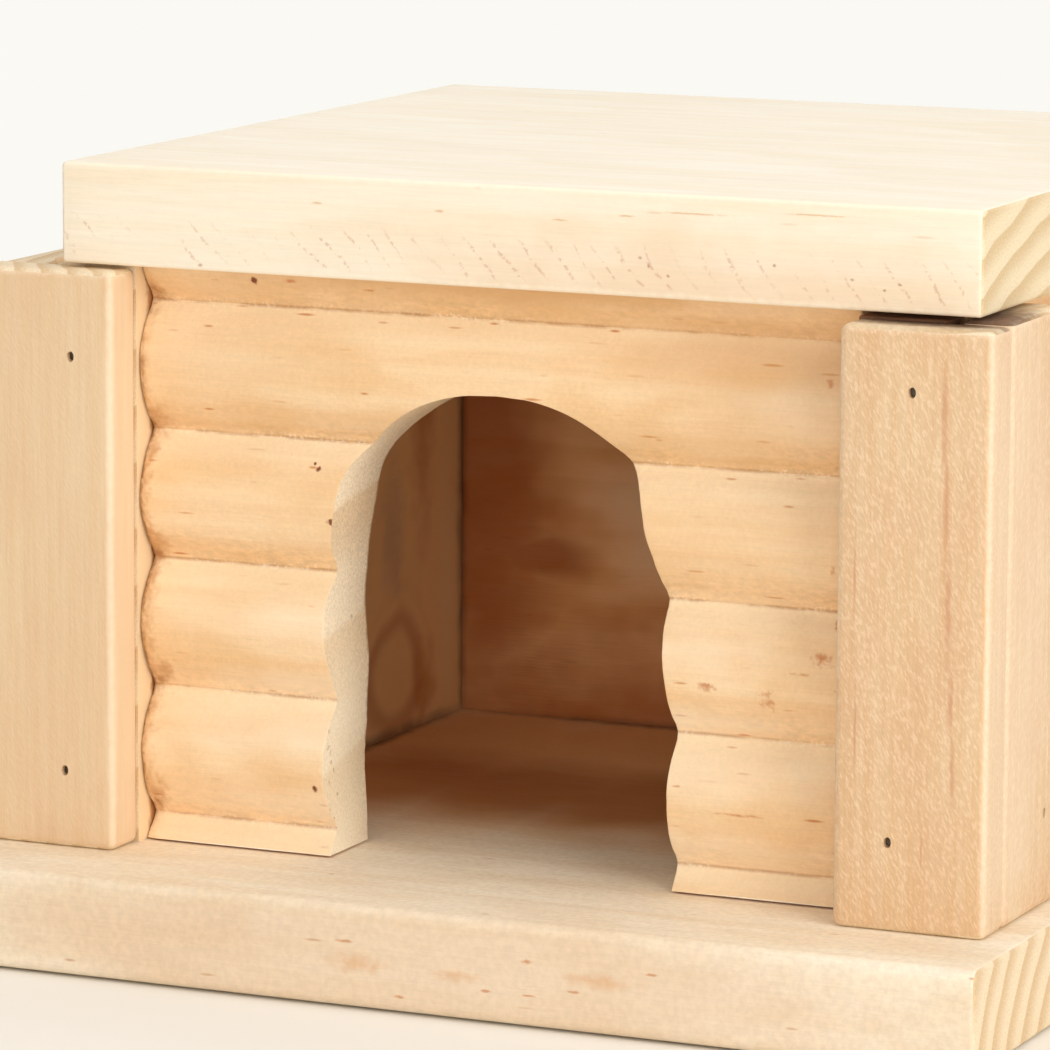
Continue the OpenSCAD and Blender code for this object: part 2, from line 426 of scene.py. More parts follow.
@dataclass(frozen=True)
class Nap:
    """Uneven nap of dry fibre: patches a millimetre or two across, a little lighter or darker.

    Attributes:
        size: of a patch, in millimetres.
        contrast: share by which patches are lighter or darker.
    """

    size: float = 1.3
    contrast: float = 0.035

    def apply(self, work: Workpiece, colour: bpy.types.Node) -> bpy.types.Node:
        """Put the nap on a board.

        Args:
            work: the board's material.
            colour: its colour so far.

        Returns:
            The colour with the nap.
        """
        patches = add(work.tree, "TexNoise", {"Vector": work.row, "Scale": 1 / self.size, "Detail": 3.0,
                                              "Roughness": 0.65})
        work.relief.append(patches)
        return work.swing(colour, patches, self.contrast)


@dataclass(frozen=True)
class MilledLogs:
    """Torn fibre from the moulding cutter, with paler upper flanks as painted light and warmer painted shade
    low on each log.

    Attributes:
        first_groove: height of one groove in the row frame, in millimetres.
        pitch: height of a log.
        pale: colour of the painted light on the upper flanks.
        warm: colour of the painted shade low on each log, over the torn wood.
        groove_line: colour of the broken darker line where two logs meet.
        fuzz: colour of the fibre that stands up along it.
        torn: width of a torn tuft, in millimetres.
        contrast: share by which tufts are lighter or darker.
        mottle: share by which the whole face is, in patches of a millimetre.
    """

    first_groove: float
    pitch: float
    pale: str = "FFEBC8"
    warm: str = "D9A870"
    groove_line: str = "B27B45"
    fuzz: str = "FFF1DA"
    torn: float = 1.3
    contrast: float = 0.09
    mottle: float = 0.028

    def apply(self, work: Workpiece, colour: bpy.types.Node) -> bpy.types.Node:
        """Put the cutter's traces and the painted light and shade on a board.

        Args:
            work: the board's material.
            colour: its colour so far.

        Returns:
            The colour with the traces and the painted light and shade.
        """
        tree = work.tree
        height = add(tree, "SeparateXYZ", (work.row,)).outputs[2]
        logs = add(tree, "Math", (add(tree, "Math", (height, self.first_groove), **LESS), self.pitch), **OVER)
        phase = add(tree, "Math", (logs,), operation="FRACT")
        patch = add(tree, "MapRange", (work.along(7.0, 3.0), 0.36, 0.62, 0.15, 1.0), **SOFT)
        # Painted shade: the lower part of each log faces down and takes the warm colour, more so higher up
        # the wall.
        foot = add(tree, "MapRange", (phase, 0.02, 0.40, 1.0, 0.0), **SOFT)
        low = add(tree, "Math", (foot, patch), **TIMES)
        upper = add(tree, "MapRange", (height, 40.0, 105.0, 0.04, 0.46), **SOFT)
        warm = add(tree, "Math", (foot, upper), **TIMES)
        colour = add(tree, "Mix", {0: warm, "A": colour, "B": hex_to_linear(self.warm)}, **PAINT)
        # Painted light: the upper part of each log faces up and is painted paler.
        high = add(tree, "MapRange", (phase, 0.72, 0.96, 0.0, 0.55), **SOFT)
        colour = add(tree, "Mix", {0: high, "A": colour, "B": hex_to_linear(self.pale)}, **PAINT)
        tuft = work.along(self.torn, 1.6, 2.0, 0.6)
        work.relief.append(add(tree, "Math", (tuft, low), **TIMES))
        off = add(tree, "Math", (add(tree, "Math", (phase, 0.5), **LESS),), operation="ABSOLUTE")
        broken = add(tree, "MapRange", (work.along(2.2, 3.0), 0.36, 0.6, 0.1, 0.62), **SOFT)
        line = add(tree, "MapRange", (off, 0.5 - 0.55 / self.pitch, 0.5), **SOFT)
        line = add(tree, "Math", (line, broken), **TIMES)
        colour = add(tree, "Mix", {0: line, "A": colour, "B": hex_to_linear(self.groove_line)}, **PAINT)
        near = add(tree, "MapRange", (off, 0.5 - 1.5 / self.pitch, 0.5, 0.0, 0.5), **SOFT)
        grain = add(tree, "TexNoise", {"Vector": work.row, "Scale": 1.5, "Detail": 3.0, "Roughness": 0.7})
        raised = add(tree, "Math", (patch, add(tree, "MapRange", (grain, 0.50, 0.66), **SOFT)), **TIMES)
        fuzz = add(tree, "Math", (near, raised), **TIMES)
        colour = add(tree, "Mix", {0: fuzz, "A": colour, "B": hex_to_linear(self.fuzz)}, **PAINT)
        swing = add(tree, "MapRange", (tuft, 0.3, 0.7, -self.contrast, self.contrast), **SOFT)
        gain = add(tree, "Math", (swing, low, 1.0), operation="MULTIPLY_ADD")
        colour = add(tree, "VectorMath", {0: colour, "Scale": gain}, **GAIN)
        return work.swing(colour, grain, self.mottle)


@dataclass(frozen=True)
class WornArris:
    """Paler, slightly fuzzy wood along a board's sanded edges.

    Attributes:
        low: lowest corner of the board, in millimetres.
        high: highest corner.
        width: of the pale line.
        strength: share of the pale colour in it.
        colour: the pale colour.
    """

    low: Vector
    high: Vector
    width: float = 0.9
    strength: float = 0.45
    colour: str = "FFF4DF"

    def apply(self, work: Workpiece, colour: bpy.types.Node) -> bpy.types.Node:
        """Put the pale edges on a board.

        Args:
            work: the board's material.
            colour: its colour so far.

        Returns:
            The colour with the pale edges.
        """
        tree = work.tree
        middle = tuple((self.low + self.high) / 2)
        half = tuple((self.high - self.low) / 2)
        away = add(tree, "VectorMath", (work.row, middle), **LESS)
        off = add(tree, "VectorMath", (away,), operation="ABSOLUTE")
        inward = add(tree, "VectorMath", (half, off), **LESS)
        gap = add(tree, "SeparateXYZ", (inward,)).outputs
        # An edge is where two of the three gaps are small, so the middle one of them measures it.
        near = add(tree, "Math", (gap[0], gap[1]), operation="MINIMUM")
        wide = add(tree, "Math", (gap[0], gap[1]), operation="MAXIMUM")
        rest = add(tree, "Math", (wide, gap[2]), operation="MINIMUM")
        second = add(tree, "Math", (near, rest), operation="MAXIMUM")
        fuzz = add(tree, "TexNoise", {"Vector": work.row, "Scale": 0.6, "Detail": 3.0})
        reach = add(tree, "Math", (fuzz, -2 * self.width, second), operation="MULTIPLY_ADD")
        cover = add(tree, "MapRange", (reach, -self.width, self.width / 2, self.strength, 0.0), **SOFT)
        return add(tree, "Mix", {0: cover, "A": colour, "B": hex_to_linear(self.colour)}, **PAINT)


@dataclass(frozen=True)
class SawKisses:
    """Slanted dotted lines that a saw's teeth left in a band above a board's lower edge.

    Attributes:
        low: height where the band starts, in millimetres in the row frame.
        high: height where it ends.
        spacing: from line to line along the board.
        lean: how far a line runs along the board for each millimetre down.
        width: of a line.
        colour: of the bruised fibre.
        strength: share of that colour.
    """

    low: float
    high: float
    spacing: float = 4.8
    lean: float = 0.85
    width: float = 0.62
    colour: str = "C08052"
    strength: float = 0.40

    def apply(self, work: Workpiece, colour: bpy.types.Node) -> bpy.types.Node:
        """Put the saw's marks on a board.

        Args:
            work: the board's material.
            colour: its colour so far.

        Returns:
            The colour with the marks.
        """
        tree = work.tree
        part = add(tree, "SeparateXYZ", (work.row,)).outputs
        slanted = add(tree, "Math", (part[2], self.lean, part[0]), operation="MULTIPLY_ADD")
        broad = add(tree, "TexNoise", {"Vector": work.row, "Scale": 0.09, "Detail": 1.0})
        swayed = add(tree, "Math", (broad, self.spacing * 1.5, slanted), operation="MULTIPLY_ADD")
        turn = add(tree, "Math", (add(tree, "Math", (swayed, self.spacing), **OVER),), operation="FRACT")
        off = add(tree, "Math", (add(tree, "Math", (turn, 0.5), **LESS),), operation="ABSOLUTE")
        dots = add(tree, "TexNoise", {"Vector": work.row, "Scale": 1.3, "Detail": 1.0})
        groups = add(tree, "TexNoise", {"Vector": work.row, "Scale": 0.07, "Detail": 2.0})
        shares = (
            add(tree, "MapRange", (off, 0.0, self.width / self.spacing, self.strength, 0.0), **SOFT),
            add(tree, "MapRange", (dots, 0.46, 0.60), **SOFT),
            add(tree, "MapRange", (groups, 0.36, 0.54), **SOFT),
            add(tree, "MapRange", (part[2], self.low, self.low + 1.5), **SOFT),
            add(tree, "MapRange", (part[2], self.high - 3.5, self.high, 1.0, 0.0), **SOFT))
        cover = shares[0]
        for share in shares[1:]:
            cover = add(tree, "Math", (cover, share), **TIMES)
        return add(tree, "Mix", {0: cover, "A": colour, "B": hex_to_linear(self.colour)}, **PAINT)


@dataclass(frozen=True)
class Knot:
    """The figure round a knot: soft dark rings, uneven as the wood flowed round the branch.

    Attributes:
        at: its middle, in millimetres in the row frame.
        radii: of its strongest ring.
        rings: for each its place and half width, as shares of the radii, and its strength.
        colour: of the rings.
        sway: how far the rings stray from true ellipses, as a share of the radii.
    """

    at: tuple[float, float, float]
    radii: tuple[float, float, float]
    rings: tuple[tuple[float, float, float], ...] = ((1.0, 0.42, 0.38), (1.60, 0.25, 0.06))
    colour: str = "B4571C"
    sway: float = 1.1

    def apply(self, work: Workpiece, colour: bpy.types.Node) -> bpy.types.Node:
        """Put the knot's figure on a board.

        Args:
            work: the board's material.
            colour: its colour so far.

        Returns:
            The colour with the figure.
        """
        tree = work.tree
        away = add(tree, "VectorMath", (work.row, self.at), **LESS)
        share = add(tree, "VectorMath", (away, self.radii), **OVER)
        uneven = add(tree, "TexNoise", {"Vector": work.row, "Scale": 0.06, "Detail": 1.0})
        stray = add(tree, "Math", (uneven, 0.5), **LESS)
        far = add(tree, "VectorMath", (share,), **FAR)
        reach = add(tree, "Math", (stray, self.sway, far), operation="MULTIPLY_ADD")
        for place, half_width, strength in self.rings:
            off = add(tree, "Math", (add(tree, "Math", (reach, place), **LESS),), operation="ABSOLUTE")
            cover = add(tree, "MapRange", (off, 0.0, half_width, strength, 0.0), **SOFT)
            colour = add(tree, "Mix", {0: cover, "A": colour, "B": hex_to_linear(self.colour)}, **PAINT)
        return colour


@dataclass(frozen=True)
class Pine:
    """Bare softwood: pale sapwood, soft growth rings, long streaks, fine fibre and warm clouds.

    Unsealed fibre is dry and almost matt, so roughness is high and gloss is low. The fibre is drawn
    0.45 mm wide, as real fibre of 0.04 mm would not show.

    Attributes:
        name: of the material, from the wood and how its surface was made.
        pale: colour of the pale streaks.
        body: colour of the wood between the rings.
        ring: colour of the latewood.
        cloud: colour of the warm clouds.
        ring_mm: width of a year's growth.
        ring_share: how far latewood goes to its colour.
        pith: where the tree's middle lies across the board, in millimetres.
        lean: how much the pith leans along the board.
        streak_mm: width of a pale streak.
        streak_share: how far it goes to its colour.
        fibre_mm: width of the fibre as drawn.
        fibre_share: how much lighter and darker it is.
        cloud_mm: width of a cloud.
        cloud_share: how far it goes to its colour.
        roughness: of the surface.
        bump: strength of its relief.
        features: further traces that every board of this finish has.
    """

    name: str
    pale: str = "FFEBC9"
    body: str = "F6D3A7"
    ring: str = "EABD8A"
    cloud: str = "EBC08B"
    ring_mm: float = 7.5
    ring_share: float = 0.22
    pith: tuple[float, float] = (24.0, -62.0)
    lean: float = 0.05
    streak_mm: float = 3.4
    streak_share: float = 0.26
    fibre_mm: float = 0.45
    fibre_share: float = 0.025
    cloud_mm: float = 11.0
    cloud_share: float = 0.62
    roughness: float = 0.64
    bump: float = 0.4
    features: tuple[Feature, ...] = (ResinCanals(),)

    def material(self, grain: Grain, shift: Sequence[float] = (0.0, 0.0, 0.0),
                 own: Sequence[Feature] = ()) -> bpy.types.Material:
        """Build the material of one board.

        Args:
            grain: direction of the grain.
            shift: how far the pattern is moved, in millimetres.
            own: features that only this board has.

        Returns:
            The material.
        """
        work = Workpiece.begin(self.name, grain, shift)
        tree = work.tree
        year = work.year_rings(self.ring_mm, self.pith, 5.0, self.lean)
        # Latewood darkens slowly through the year and ends at a sharp line.
        rise = add(tree, "MapRange", (year, 0.30, 0.88, 0.0, self.ring_share), **SOFT)
        fall = add(tree, "MapRange", (year, 0.90, 1.0, 1.0, 0.0), **SOFT)
        late = add(tree, "Math", (rise, fall), **TIMES)
        colour = add(tree, "Mix", {0: late, "A": hex_to_linear(self.body),
                                   "B": hex_to_linear(self.ring)}, **PAINT)
        streak = add(tree, "MapRange", (work.along(self.streak_mm, 22.0, 3.0), 0.36, 0.66, 0.0,
                                        self.streak_share), **SOFT)
        colour = add(tree, "Mix", {0: streak, "A": colour, "B": hex_to_linear(self.pale)}, **PAINT)
        cloud = add(tree, "MapRange", (work.along(self.cloud_mm, 2.4), 0.42, 0.68, 0.0,
                                       self.cloud_share), **SOFT)
        colour = add(tree, "Mix", {0: cloud, "A": colour, "B": hex_to_linear(self.cloud)}, **PAINT)
        fibre = work.along(self.fibre_mm, 20.0, 2.0, 0.6)
        work.relief.append(fibre)
        colour = work.swing(colour, fibre, self.fibre_share)
        for feature in (*self.features, *own):
            colour = feature.apply(work, colour)
        return work.end(colour, self.roughness, self.bump)


@dataclass(frozen=True)
class EndGrainPine:
    """Sawn end grain: cut fibre ends, greyer than the face and speckled with pores.

    Attributes:
        name: of the material.
        pale: colour of the earlywood.
        dark: colour of the latewood.
        ring_mm: width of a year's growth.
        ring_share: how far latewood goes to its colour.
        pith: where the tree's middle lies across the board, in millimetres.
        pore_mm: size of the specks. Real pores are 0.05 mm, so they are drawn coarser to show.
        pore_share: how much lighter and darker they are.
        roughness: of the surface, which is rougher than a planed face.
    """

    name: str
    pale: str = "F0DCBC"
    dark: str = "D9B88C"
    ring_mm: float = 5.0
    ring_share: float = 0.8
    pith: tuple[float, float] = (10.0, -40.0)
    pore_mm: float = 0.42
    pore_share: float = 0.08
    roughness: float = 0.8

    def material(self, grain: Grain, shift: Sequence[float] = (0.0, 0.0, 0.0),
                 own: Sequence[Feature] = ()) -> bpy.types.Material:
        """Build the material of one board's ends.

        Args:
            grain: direction of the grain, which the cut crosses.
            shift: how far the pattern is moved, in millimetres.
            own: features that only this board has.

        Returns:
            The material.
        """
        work = Workpiece.begin(self.name, grain, shift)
        tree = work.tree
        year = work.year_rings(self.ring_mm, self.pith, 1.5)
        rise = add(tree, "MapRange", (year, 0.2, 0.9, 0.0, self.ring_share), **SOFT)
        fall = add(tree, "MapRange", (year, 0.92, 1.0, 1.0, 0.0), **SOFT)
        late = add(tree, "Math", (rise, fall), **TIMES)
        colour = add(tree, "Mix", {0: late, "A": hex_to_linear(self.pale),
                                   "B": hex_to_linear(self.dark)}, **PAINT)
        pores = add(tree, "TexNoise", {"Vector": work.row, "Scale": 1 / self.pore_mm, "Detail": 2.0,
                                       "Roughness": 0.6})
        work.relief.append(pores)
        colour = work.swing(colour, pores, self.pore_share)
        for feature in own:
            colour = feature.apply(work, colour)
        return work.end(colour, self.roughness, 0.6)


@dataclass(frozen=True)
class DulledSteel:
    """Bright-drawn steel wire of a panel brad, dulled in its box, and dark as painted shade for a head deep
    in its hole.

    Attributes:
        name: of the material.
        colour: of the clean wire.
        tarnish: of its dull spots.
        spot_mm: size of a spot.
        roughness: of the wire.
    """

    name: str = "bright drawn steel"
    colour: str = "6E665E"
    tarnish: str = "463B33"
    spot_mm: float = 0.5
    roughness: float = 0.42

    def material(self) -> bpy.types.Material:
        """Build the material.

        Returns:
            The material.
        """
        mat = blank_material(self.name)
        tree = mat.node_tree
        place = add(tree, "TexCoord").outputs["Object"]
        spots = add(tree, "TexNoise", {"Vector": place, "Scale": 1 / (self.spot_mm * MM), "Detail": 2.0})
        colour = add(tree, "Mix", {0: spots, "A": hex_to_linear(self.colour),
                                   "B": hex_to_linear(self.tarnish)}, **PAINT)
        surface = add(tree, "BsdfPrincipled", {"Base Color": colour, "Metallic": 1.0,
                                               "Roughness": self.roughness})
        add(tree, "OutputMaterial", (surface,))
        return mat


# ---------------------------------------------------------------- meshes


def mesh_object(name: str, bm: bmesh.types.BMesh, materials: Sequence[bpy.types.Material],
                sharp_degrees: float = SHARP_DEGREES) -> bpy.types.Object:
    """Turn a bmesh in millimetres into an object in metres.

    Args:
        name: the piece's name.
        bm: the mesh, which is freed here.
        materials: one for each material number of the faces.
        sharp_degrees: faces that meet at more than this angle stay crisp.

    Returns:
        The new object, linked to the scene.
    """
    bmesh.ops.recalc_face_normals(bm, faces=bm.faces)
    for vertex in bm.verts:
        vertex.co *= MM
    limit = math.radians(sharp_degrees)
    for face in bm.faces:
        face.smooth = True
    for edge in bm.edges:
        if len(edge.link_faces) == 2 and edge.calc_face_angle(0.0) > limit:
            edge.smooth = False
    mesh = bpy.data.meshes.new(name)
    bm.to_mesh(mesh)
    bm.free()
    for mat in materials:
        mesh.materials.append(mat)
    obj = bpy.data.objects.new(name, mesh)
    bpy.context.scene.collection.objects.link(obj)
    return obj


@dataclass
class Hole:
    """A brad hole.

    Attributes:
        at: centre of its mouth, in millimetres.
        axis: unit vector out of the wood.
        radius: across the fibres.
        depth: of the hole.
        stretch: how much longer it is along its own Y.
        proud: how far the cutter stands out of the wood.
        ragged: share by which its rim strays.
        waves: size of the rim in the noise's own units, where more gives more waves.
    """

    at: Vector
    axis: Vector
    radius: float = 0.7
    depth: float = 1.6
    stretch: float = 1.35
    proud: float = 0.6
    ragged: float = 0.12
    waves: float = 1.4

    def rim(self, level: float, seed: float, sides: int = 20) -> list[Vector]:
        """Ragged outline of the hole.

        Args:
            level: how far out of the wood it lies.
            seed: sets its raggedness.
            sides: number of its points.

        Returns:
            Its points.
        """
        spin = self.axis.to_track_quat("Z", "Y")
        points = []
        for i in range(sides):
            angle = math.tau * i / sides
            right, up = math.cos(angle), math.sin(angle)
            stray = self.ragged * wander(right * self.waves, up * self.waves, 0.0, seed)
            reach = self.radius * (1 + stray)
            across = Vector((right * reach, up * reach * self.stretch, level))
            points.append(self.at + spin @ across)
        return points


def cut_round_holes(obj: bpy.types.Object, holes: Iterable[Hole]) -> None:
    """Cut brad holes into a piece.

    Args:
        obj: the piece, in metres.
        holes: the holes to cut.
    """
    cutters = bmesh.new()
    for number, hole in enumerate(holes):
        rims = [[cutters.verts.new(point * MM) for point in hole.rim(level, 31.0 + number)]
                for level in (-hole.depth, hole.proud)]
        sides = len(rims[0])
        for i in range(sides):
            j = (i + 1) % sides
            cutters.faces.new((rims[0][i], rims[0][j], rims[1][j], rims[1][i]))
        cutters.faces.new(list(reversed(rims[0])))
        cutters.faces.new(rims[1])
    bmesh.ops.recalc_face_normals(cutters, faces=cutters.faces)
    mesh = bpy.data.meshes.new("cutters")
    cutters.to_mesh(mesh)
    cutters.free()
    tool = bpy.data.objects.new("cutters", mesh)
    bpy.context.scene.collection.objects.link(tool)
    carve = obj.modifiers.new("brad holes", "BOOLEAN")
    carve.object = tool
    carve.solver = "EXACT"
    bpy.context.view_layer.update()
    result = bpy.data.meshes.new_from_object(obj.evaluated_get(bpy.context.evaluated_depsgraph_get()))
    obj.modifiers.clear()
    result.name = obj.name
    result.set_sharp_from_angle(angle=math.radians(SHARP_DEGREES))
    obj.data = result
    bpy.data.objects.remove(tool)


def brads_of(node: str) -> list[tuple[Vector, Vector]]:
    """Find the separate brads in a node by walking its mesh.

    Args:
        node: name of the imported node.

    Returns:
        Lowest and highest corner of each brad, in millimetres.
    """
    mesh = frame["nodes"][node].data
    welded: dict[tuple[int, ...], int] = {}
    owner = []
    steps_per_mm = 500
    for vertex in mesh.vertices:
        key = tuple(round(c / MM * steps_per_mm) for c in vertex.co)
        owner.append(welded.setdefault(key, len(welded)))
    parent = list(range(len(welded)))

    def root(i: int) -> int:
        """Follow a point to the one that stands for its brad.

        Args:
            i: number of the point.

        Returns:
            Number of the one that stands for it.
        """
        while parent[i] != i:
            parent[i] = parent[parent[i]]
            i = parent[i]
        return i

    for edge in mesh.edges:
        parent[root(owner[edge.vertices[0]])] = root(owner[edge.vertices[1]])
    groups: dict[int, list[Vector]] = {}
    for vertex in mesh.vertices:
        groups.setdefault(root(owner[vertex.index]), []).append(vertex.co / MM)
    boxes = []
    for points in groups.values():
        low = Vector(tuple(min(p[i] for p in points) for i in range(3)))
        high = Vector(tuple(max(p[i] for p in points) for i in range(3)))
        boxes.append((low, high))
    return boxes


def holes_below(brads: str, low: Vector, high: Vector, depth: float) -> list[Hole]:
    """Place the mouths of the brads that were driven up through a board.

    Args:
        brads: node of the brads.
        low: lowest corner of the board, in millimetres.
        high: its highest corner.
        depth: of the holes.

    Returns:
        The holes of those brads that are in this board.
    """
    holes = []
    for first, last in brads_of(brads):
        middle = (first + last) / 2
        if low.x <= middle.x <= high.x:
            holes.append(Hole(Vector((middle.x, middle.y, low.z)), Vector((0.0, 0.0, -1.0)), depth=depth))
    return holes


def on_front(y: float, reach: float, marks: Iterable[Sequence[float]]) -> Places:
    """Place marks on a face that looks to the front.

    Args:
        y: middle of the marks along Y, in millimetres in the row frame.
        reach: half their size along Y.
        marks: for each its X, Z, half width and half height.

    Returns:
        For each mark its centre and half sizes.
    """
    return tuple(((x, y, z), (half_width, reach, half_height)) for x, z, half_width, half_height in marks)


@dataclass
class Board:
    """A sawn board with eased edges, swept along its length from a round-cornered section.

    Attributes:
        node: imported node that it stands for.
        grain: direction of its length.
        edge_r: rounding of its long edges, in millimetres.
        end_r: rounding of its ends.
        seed: sets its own unevenness.
        materials: face material, then end-grain material.
        waver: how far its faces stray, always inwards.
        step: from section to section along the board.
        corner_steps: faces round each corner.
        flat_steps: faces along each flat of the section.
    """

    node: str
    grain: Grain
    edge_r: float
    end_r: float
    seed: float
    materials: Sequence[bpy.types.Material]
    waver: float = 0.10
    step: float = 5.0
    corner_steps: int = 5
    flat_steps: int = 6

    def build(self) -> bpy.types.Object:
        """Build the board over its node.

        Returns:
            The object.
        """
        low, high = box_mm(self.node)
        size = high - low
        middle = (low + high) / 2
        axis = self.grain.value
        wide, thick = ((1, 2), (0, 2), (0, 1))[axis]
        half_w, half_t = size[wide] / 2, size[thick] / 2
        bm = bmesh.new()
        rings = []
        for along, inset in self._stations(size[axis]):
            ring = []
            for u, v in self._loop(half_w - inset, half_t - inset, self.edge_r - inset * 0.6):
                point = Vector((0.0, 0.0, 0.0))
                point[axis] = along - size[axis] / 2
                stray = self.waver * wander(point[axis] / 31, u / 31, v / 31, self.seed)
                shrink = 1 - (self.waver - stray) / max(half_w, half_t) / 2
                point[wide] = u * shrink
                point[thick] = v * shrink
                ring.append(bm.verts.new(point + middle))
            rings.append(ring)
        count = len(rings[0])
        for first, second in zip(rings, rings[1:]):
            for i in range(count):
                j = (i + 1) % count
                bm.faces.new((first[i], first[j], second[j], second[i]))
        for ring in (rings[0], rings[-1]):
            bm.faces.new(ring)
        for face in bm.faces:
            to_end = size[axis] / 2 - abs(face.calc_center_median()[axis] - middle[axis])
            face.material_index = int(to_end < self.end_r * 0.5)
        return mesh_object(self.node + "_timber", bm, self.materials)

    def _loop(self, half_w: float, half_t: float, radius: float) -> list[tuple[float, float]]:
        """Draw the section with round corners.

        Args:
            half_w: half its width.
            half_t: half its thickness.
            radius: of its corners.

        Returns:
            Its points, with some along its flats.
        """
        radius = max(radius, 0.02)
        corners = ((1, 1), (-1, 1), (-1, -1), (1, -1))
        loop = []
        for turn, (right, up) in enumerate(corners):
            for i in range(self.corner_steps + 1):
                angle = math.pi / 2 * (turn + i / self.corner_steps)
                loop.append((right * (half_w - radius) + radius * math.cos(angle),
                             up * (half_t - radius) + radius * math.sin(angle)))
            right, up = corners[(turn + 1) % 4]
            angle = math.pi / 2 * (turn + 1)
            goal = (right * (half_w - radius) + radius * math.cos(angle),
                    up * (half_t - radius) + radius * math.sin(angle))
            start = loop[-1]
            for i in range(1, self.flat_steps):
                share = i / self.flat_steps
                loop.append(tuple(a + (b - a) * share for a, b in zip(start, goal)))
        return loop

    def _stations(self, length: float) -> list[tuple[float, float]]:
        """Place the sections, drawn in towards both ends to round them.

        Args:
            length: of the board.

        Returns:
            For each section its place along the board and its inset.
        """
        near = []
        for i in range(self.corner_steps + 1):
            angle = math.pi / 2 * i / self.corner_steps
            near.append((self.end_r * (1 - math.cos(angle)), self.end_r * (1 - math.sin(angle))))
        straight = length - 2 * self.end_r
        count = max(2, round(straight / self.step))
        middle = [(self.end_r + straight * i / count, 0.0) for i in range(1, count)]
        return near + middle + [(length - along, inset) for along, inset in reversed(near)]


@dataclass(frozen=True)
class Slip:
    """A place where the jigsaw strayed from the doorway's line.

    Attributes:
        side: -1 on the left and 1 on the right.
        at: height above the floor.
        reach: how far it fades up and down.
        shift: to the right, in millimetres.
    """

    side: int
    at: float
    reach: float
    shift: float


@dataclass
class Doorway:
    """The sawn doorway's outline above the floor: straight sides under a squarish arch.

    Attributes:
        centre_x: of the doorway.
        width: where the arch springs.
        foot_width: at the floor.
        height: of the crown.
        spring: height where the arch springs.
        squareness: power of the arch, where 2 is a round one.
        slips: where the jigsaw strayed.
    """

    centre_x: float
    width: float = 64.2
    foot_width: float = 65.8
    height: float = 85.2
    spring: float = 42.0
    squareness: float = 2.35
    slips: tuple[Slip, ...] = (
        Slip(-1, 44.0, 6.0, -0.7), Slip(-1, 18.0, 14.0, -0.9), Slip(-1, 55.0, 16.0, -1.4),
        Slip(-1, 72.0, 9.0, -3.0), Slip(1, 12.0, 8.0, -0.4), Slip(1, 48.0, 12.0, -1.2),
        Slip(1, 64.0, 9.0, -1.1))

    def half_width(self, z: float) -> float:
        """Half the planned width at a height.

        Args:
            z: height above the floor.

        Returns:
            Half the width, or 0 above the crown.
        """
        if z >= self.height:
            return 0.0
        if z <= self.spring:
            share = max(z, 0.0) / self.spring
            return (self.foot_width + (self.width - self.foot_width) * share) / 2
        rise = (z - self.spring) / (self.height - self.spring)
        return self.width / 2 * (1 - rise ** self.squareness) ** (1 / self.squareness)

    def edge(self, side: int, z: float, seed: float) -> float:
        """Place of the sawn edge along X.

        Args:
            side: -1 for the left edge and 1 for the right one.
            z: height above the floor.
            seed: sets the edge's small waves.

        Returns:
            Its place, which is the doorway's centre above the crown.
        """
        half = self.half_width(z)
        stray = sum(slip.shift * math.exp(-((z - slip.at) / slip.reach) ** 2)
                    for slip in self.slips if slip.side == side)
        stray += 0.30 * wander(z / 8, side * 3.0, 1.0, seed) + 0.13 * wander(z / 2.2, side * 5.0, 4.0, seed)
        return self.centre_x + side * half + stray * math.sqrt(2 * half / self.foot_width)

    def levels(self, count: int = 40) -> list[float]:
        """Sample the arch evenly along its curve.

        Args:
            count: number of steps.

        Returns:
            Heights above the floor, the crown last.
        """
        shares = (math.sin(math.pi / 2 * i / count) ** (2 / self.squareness) for i in range(count + 1))
        return [self.spring + share * (self.height - self.spring) for share in shares]


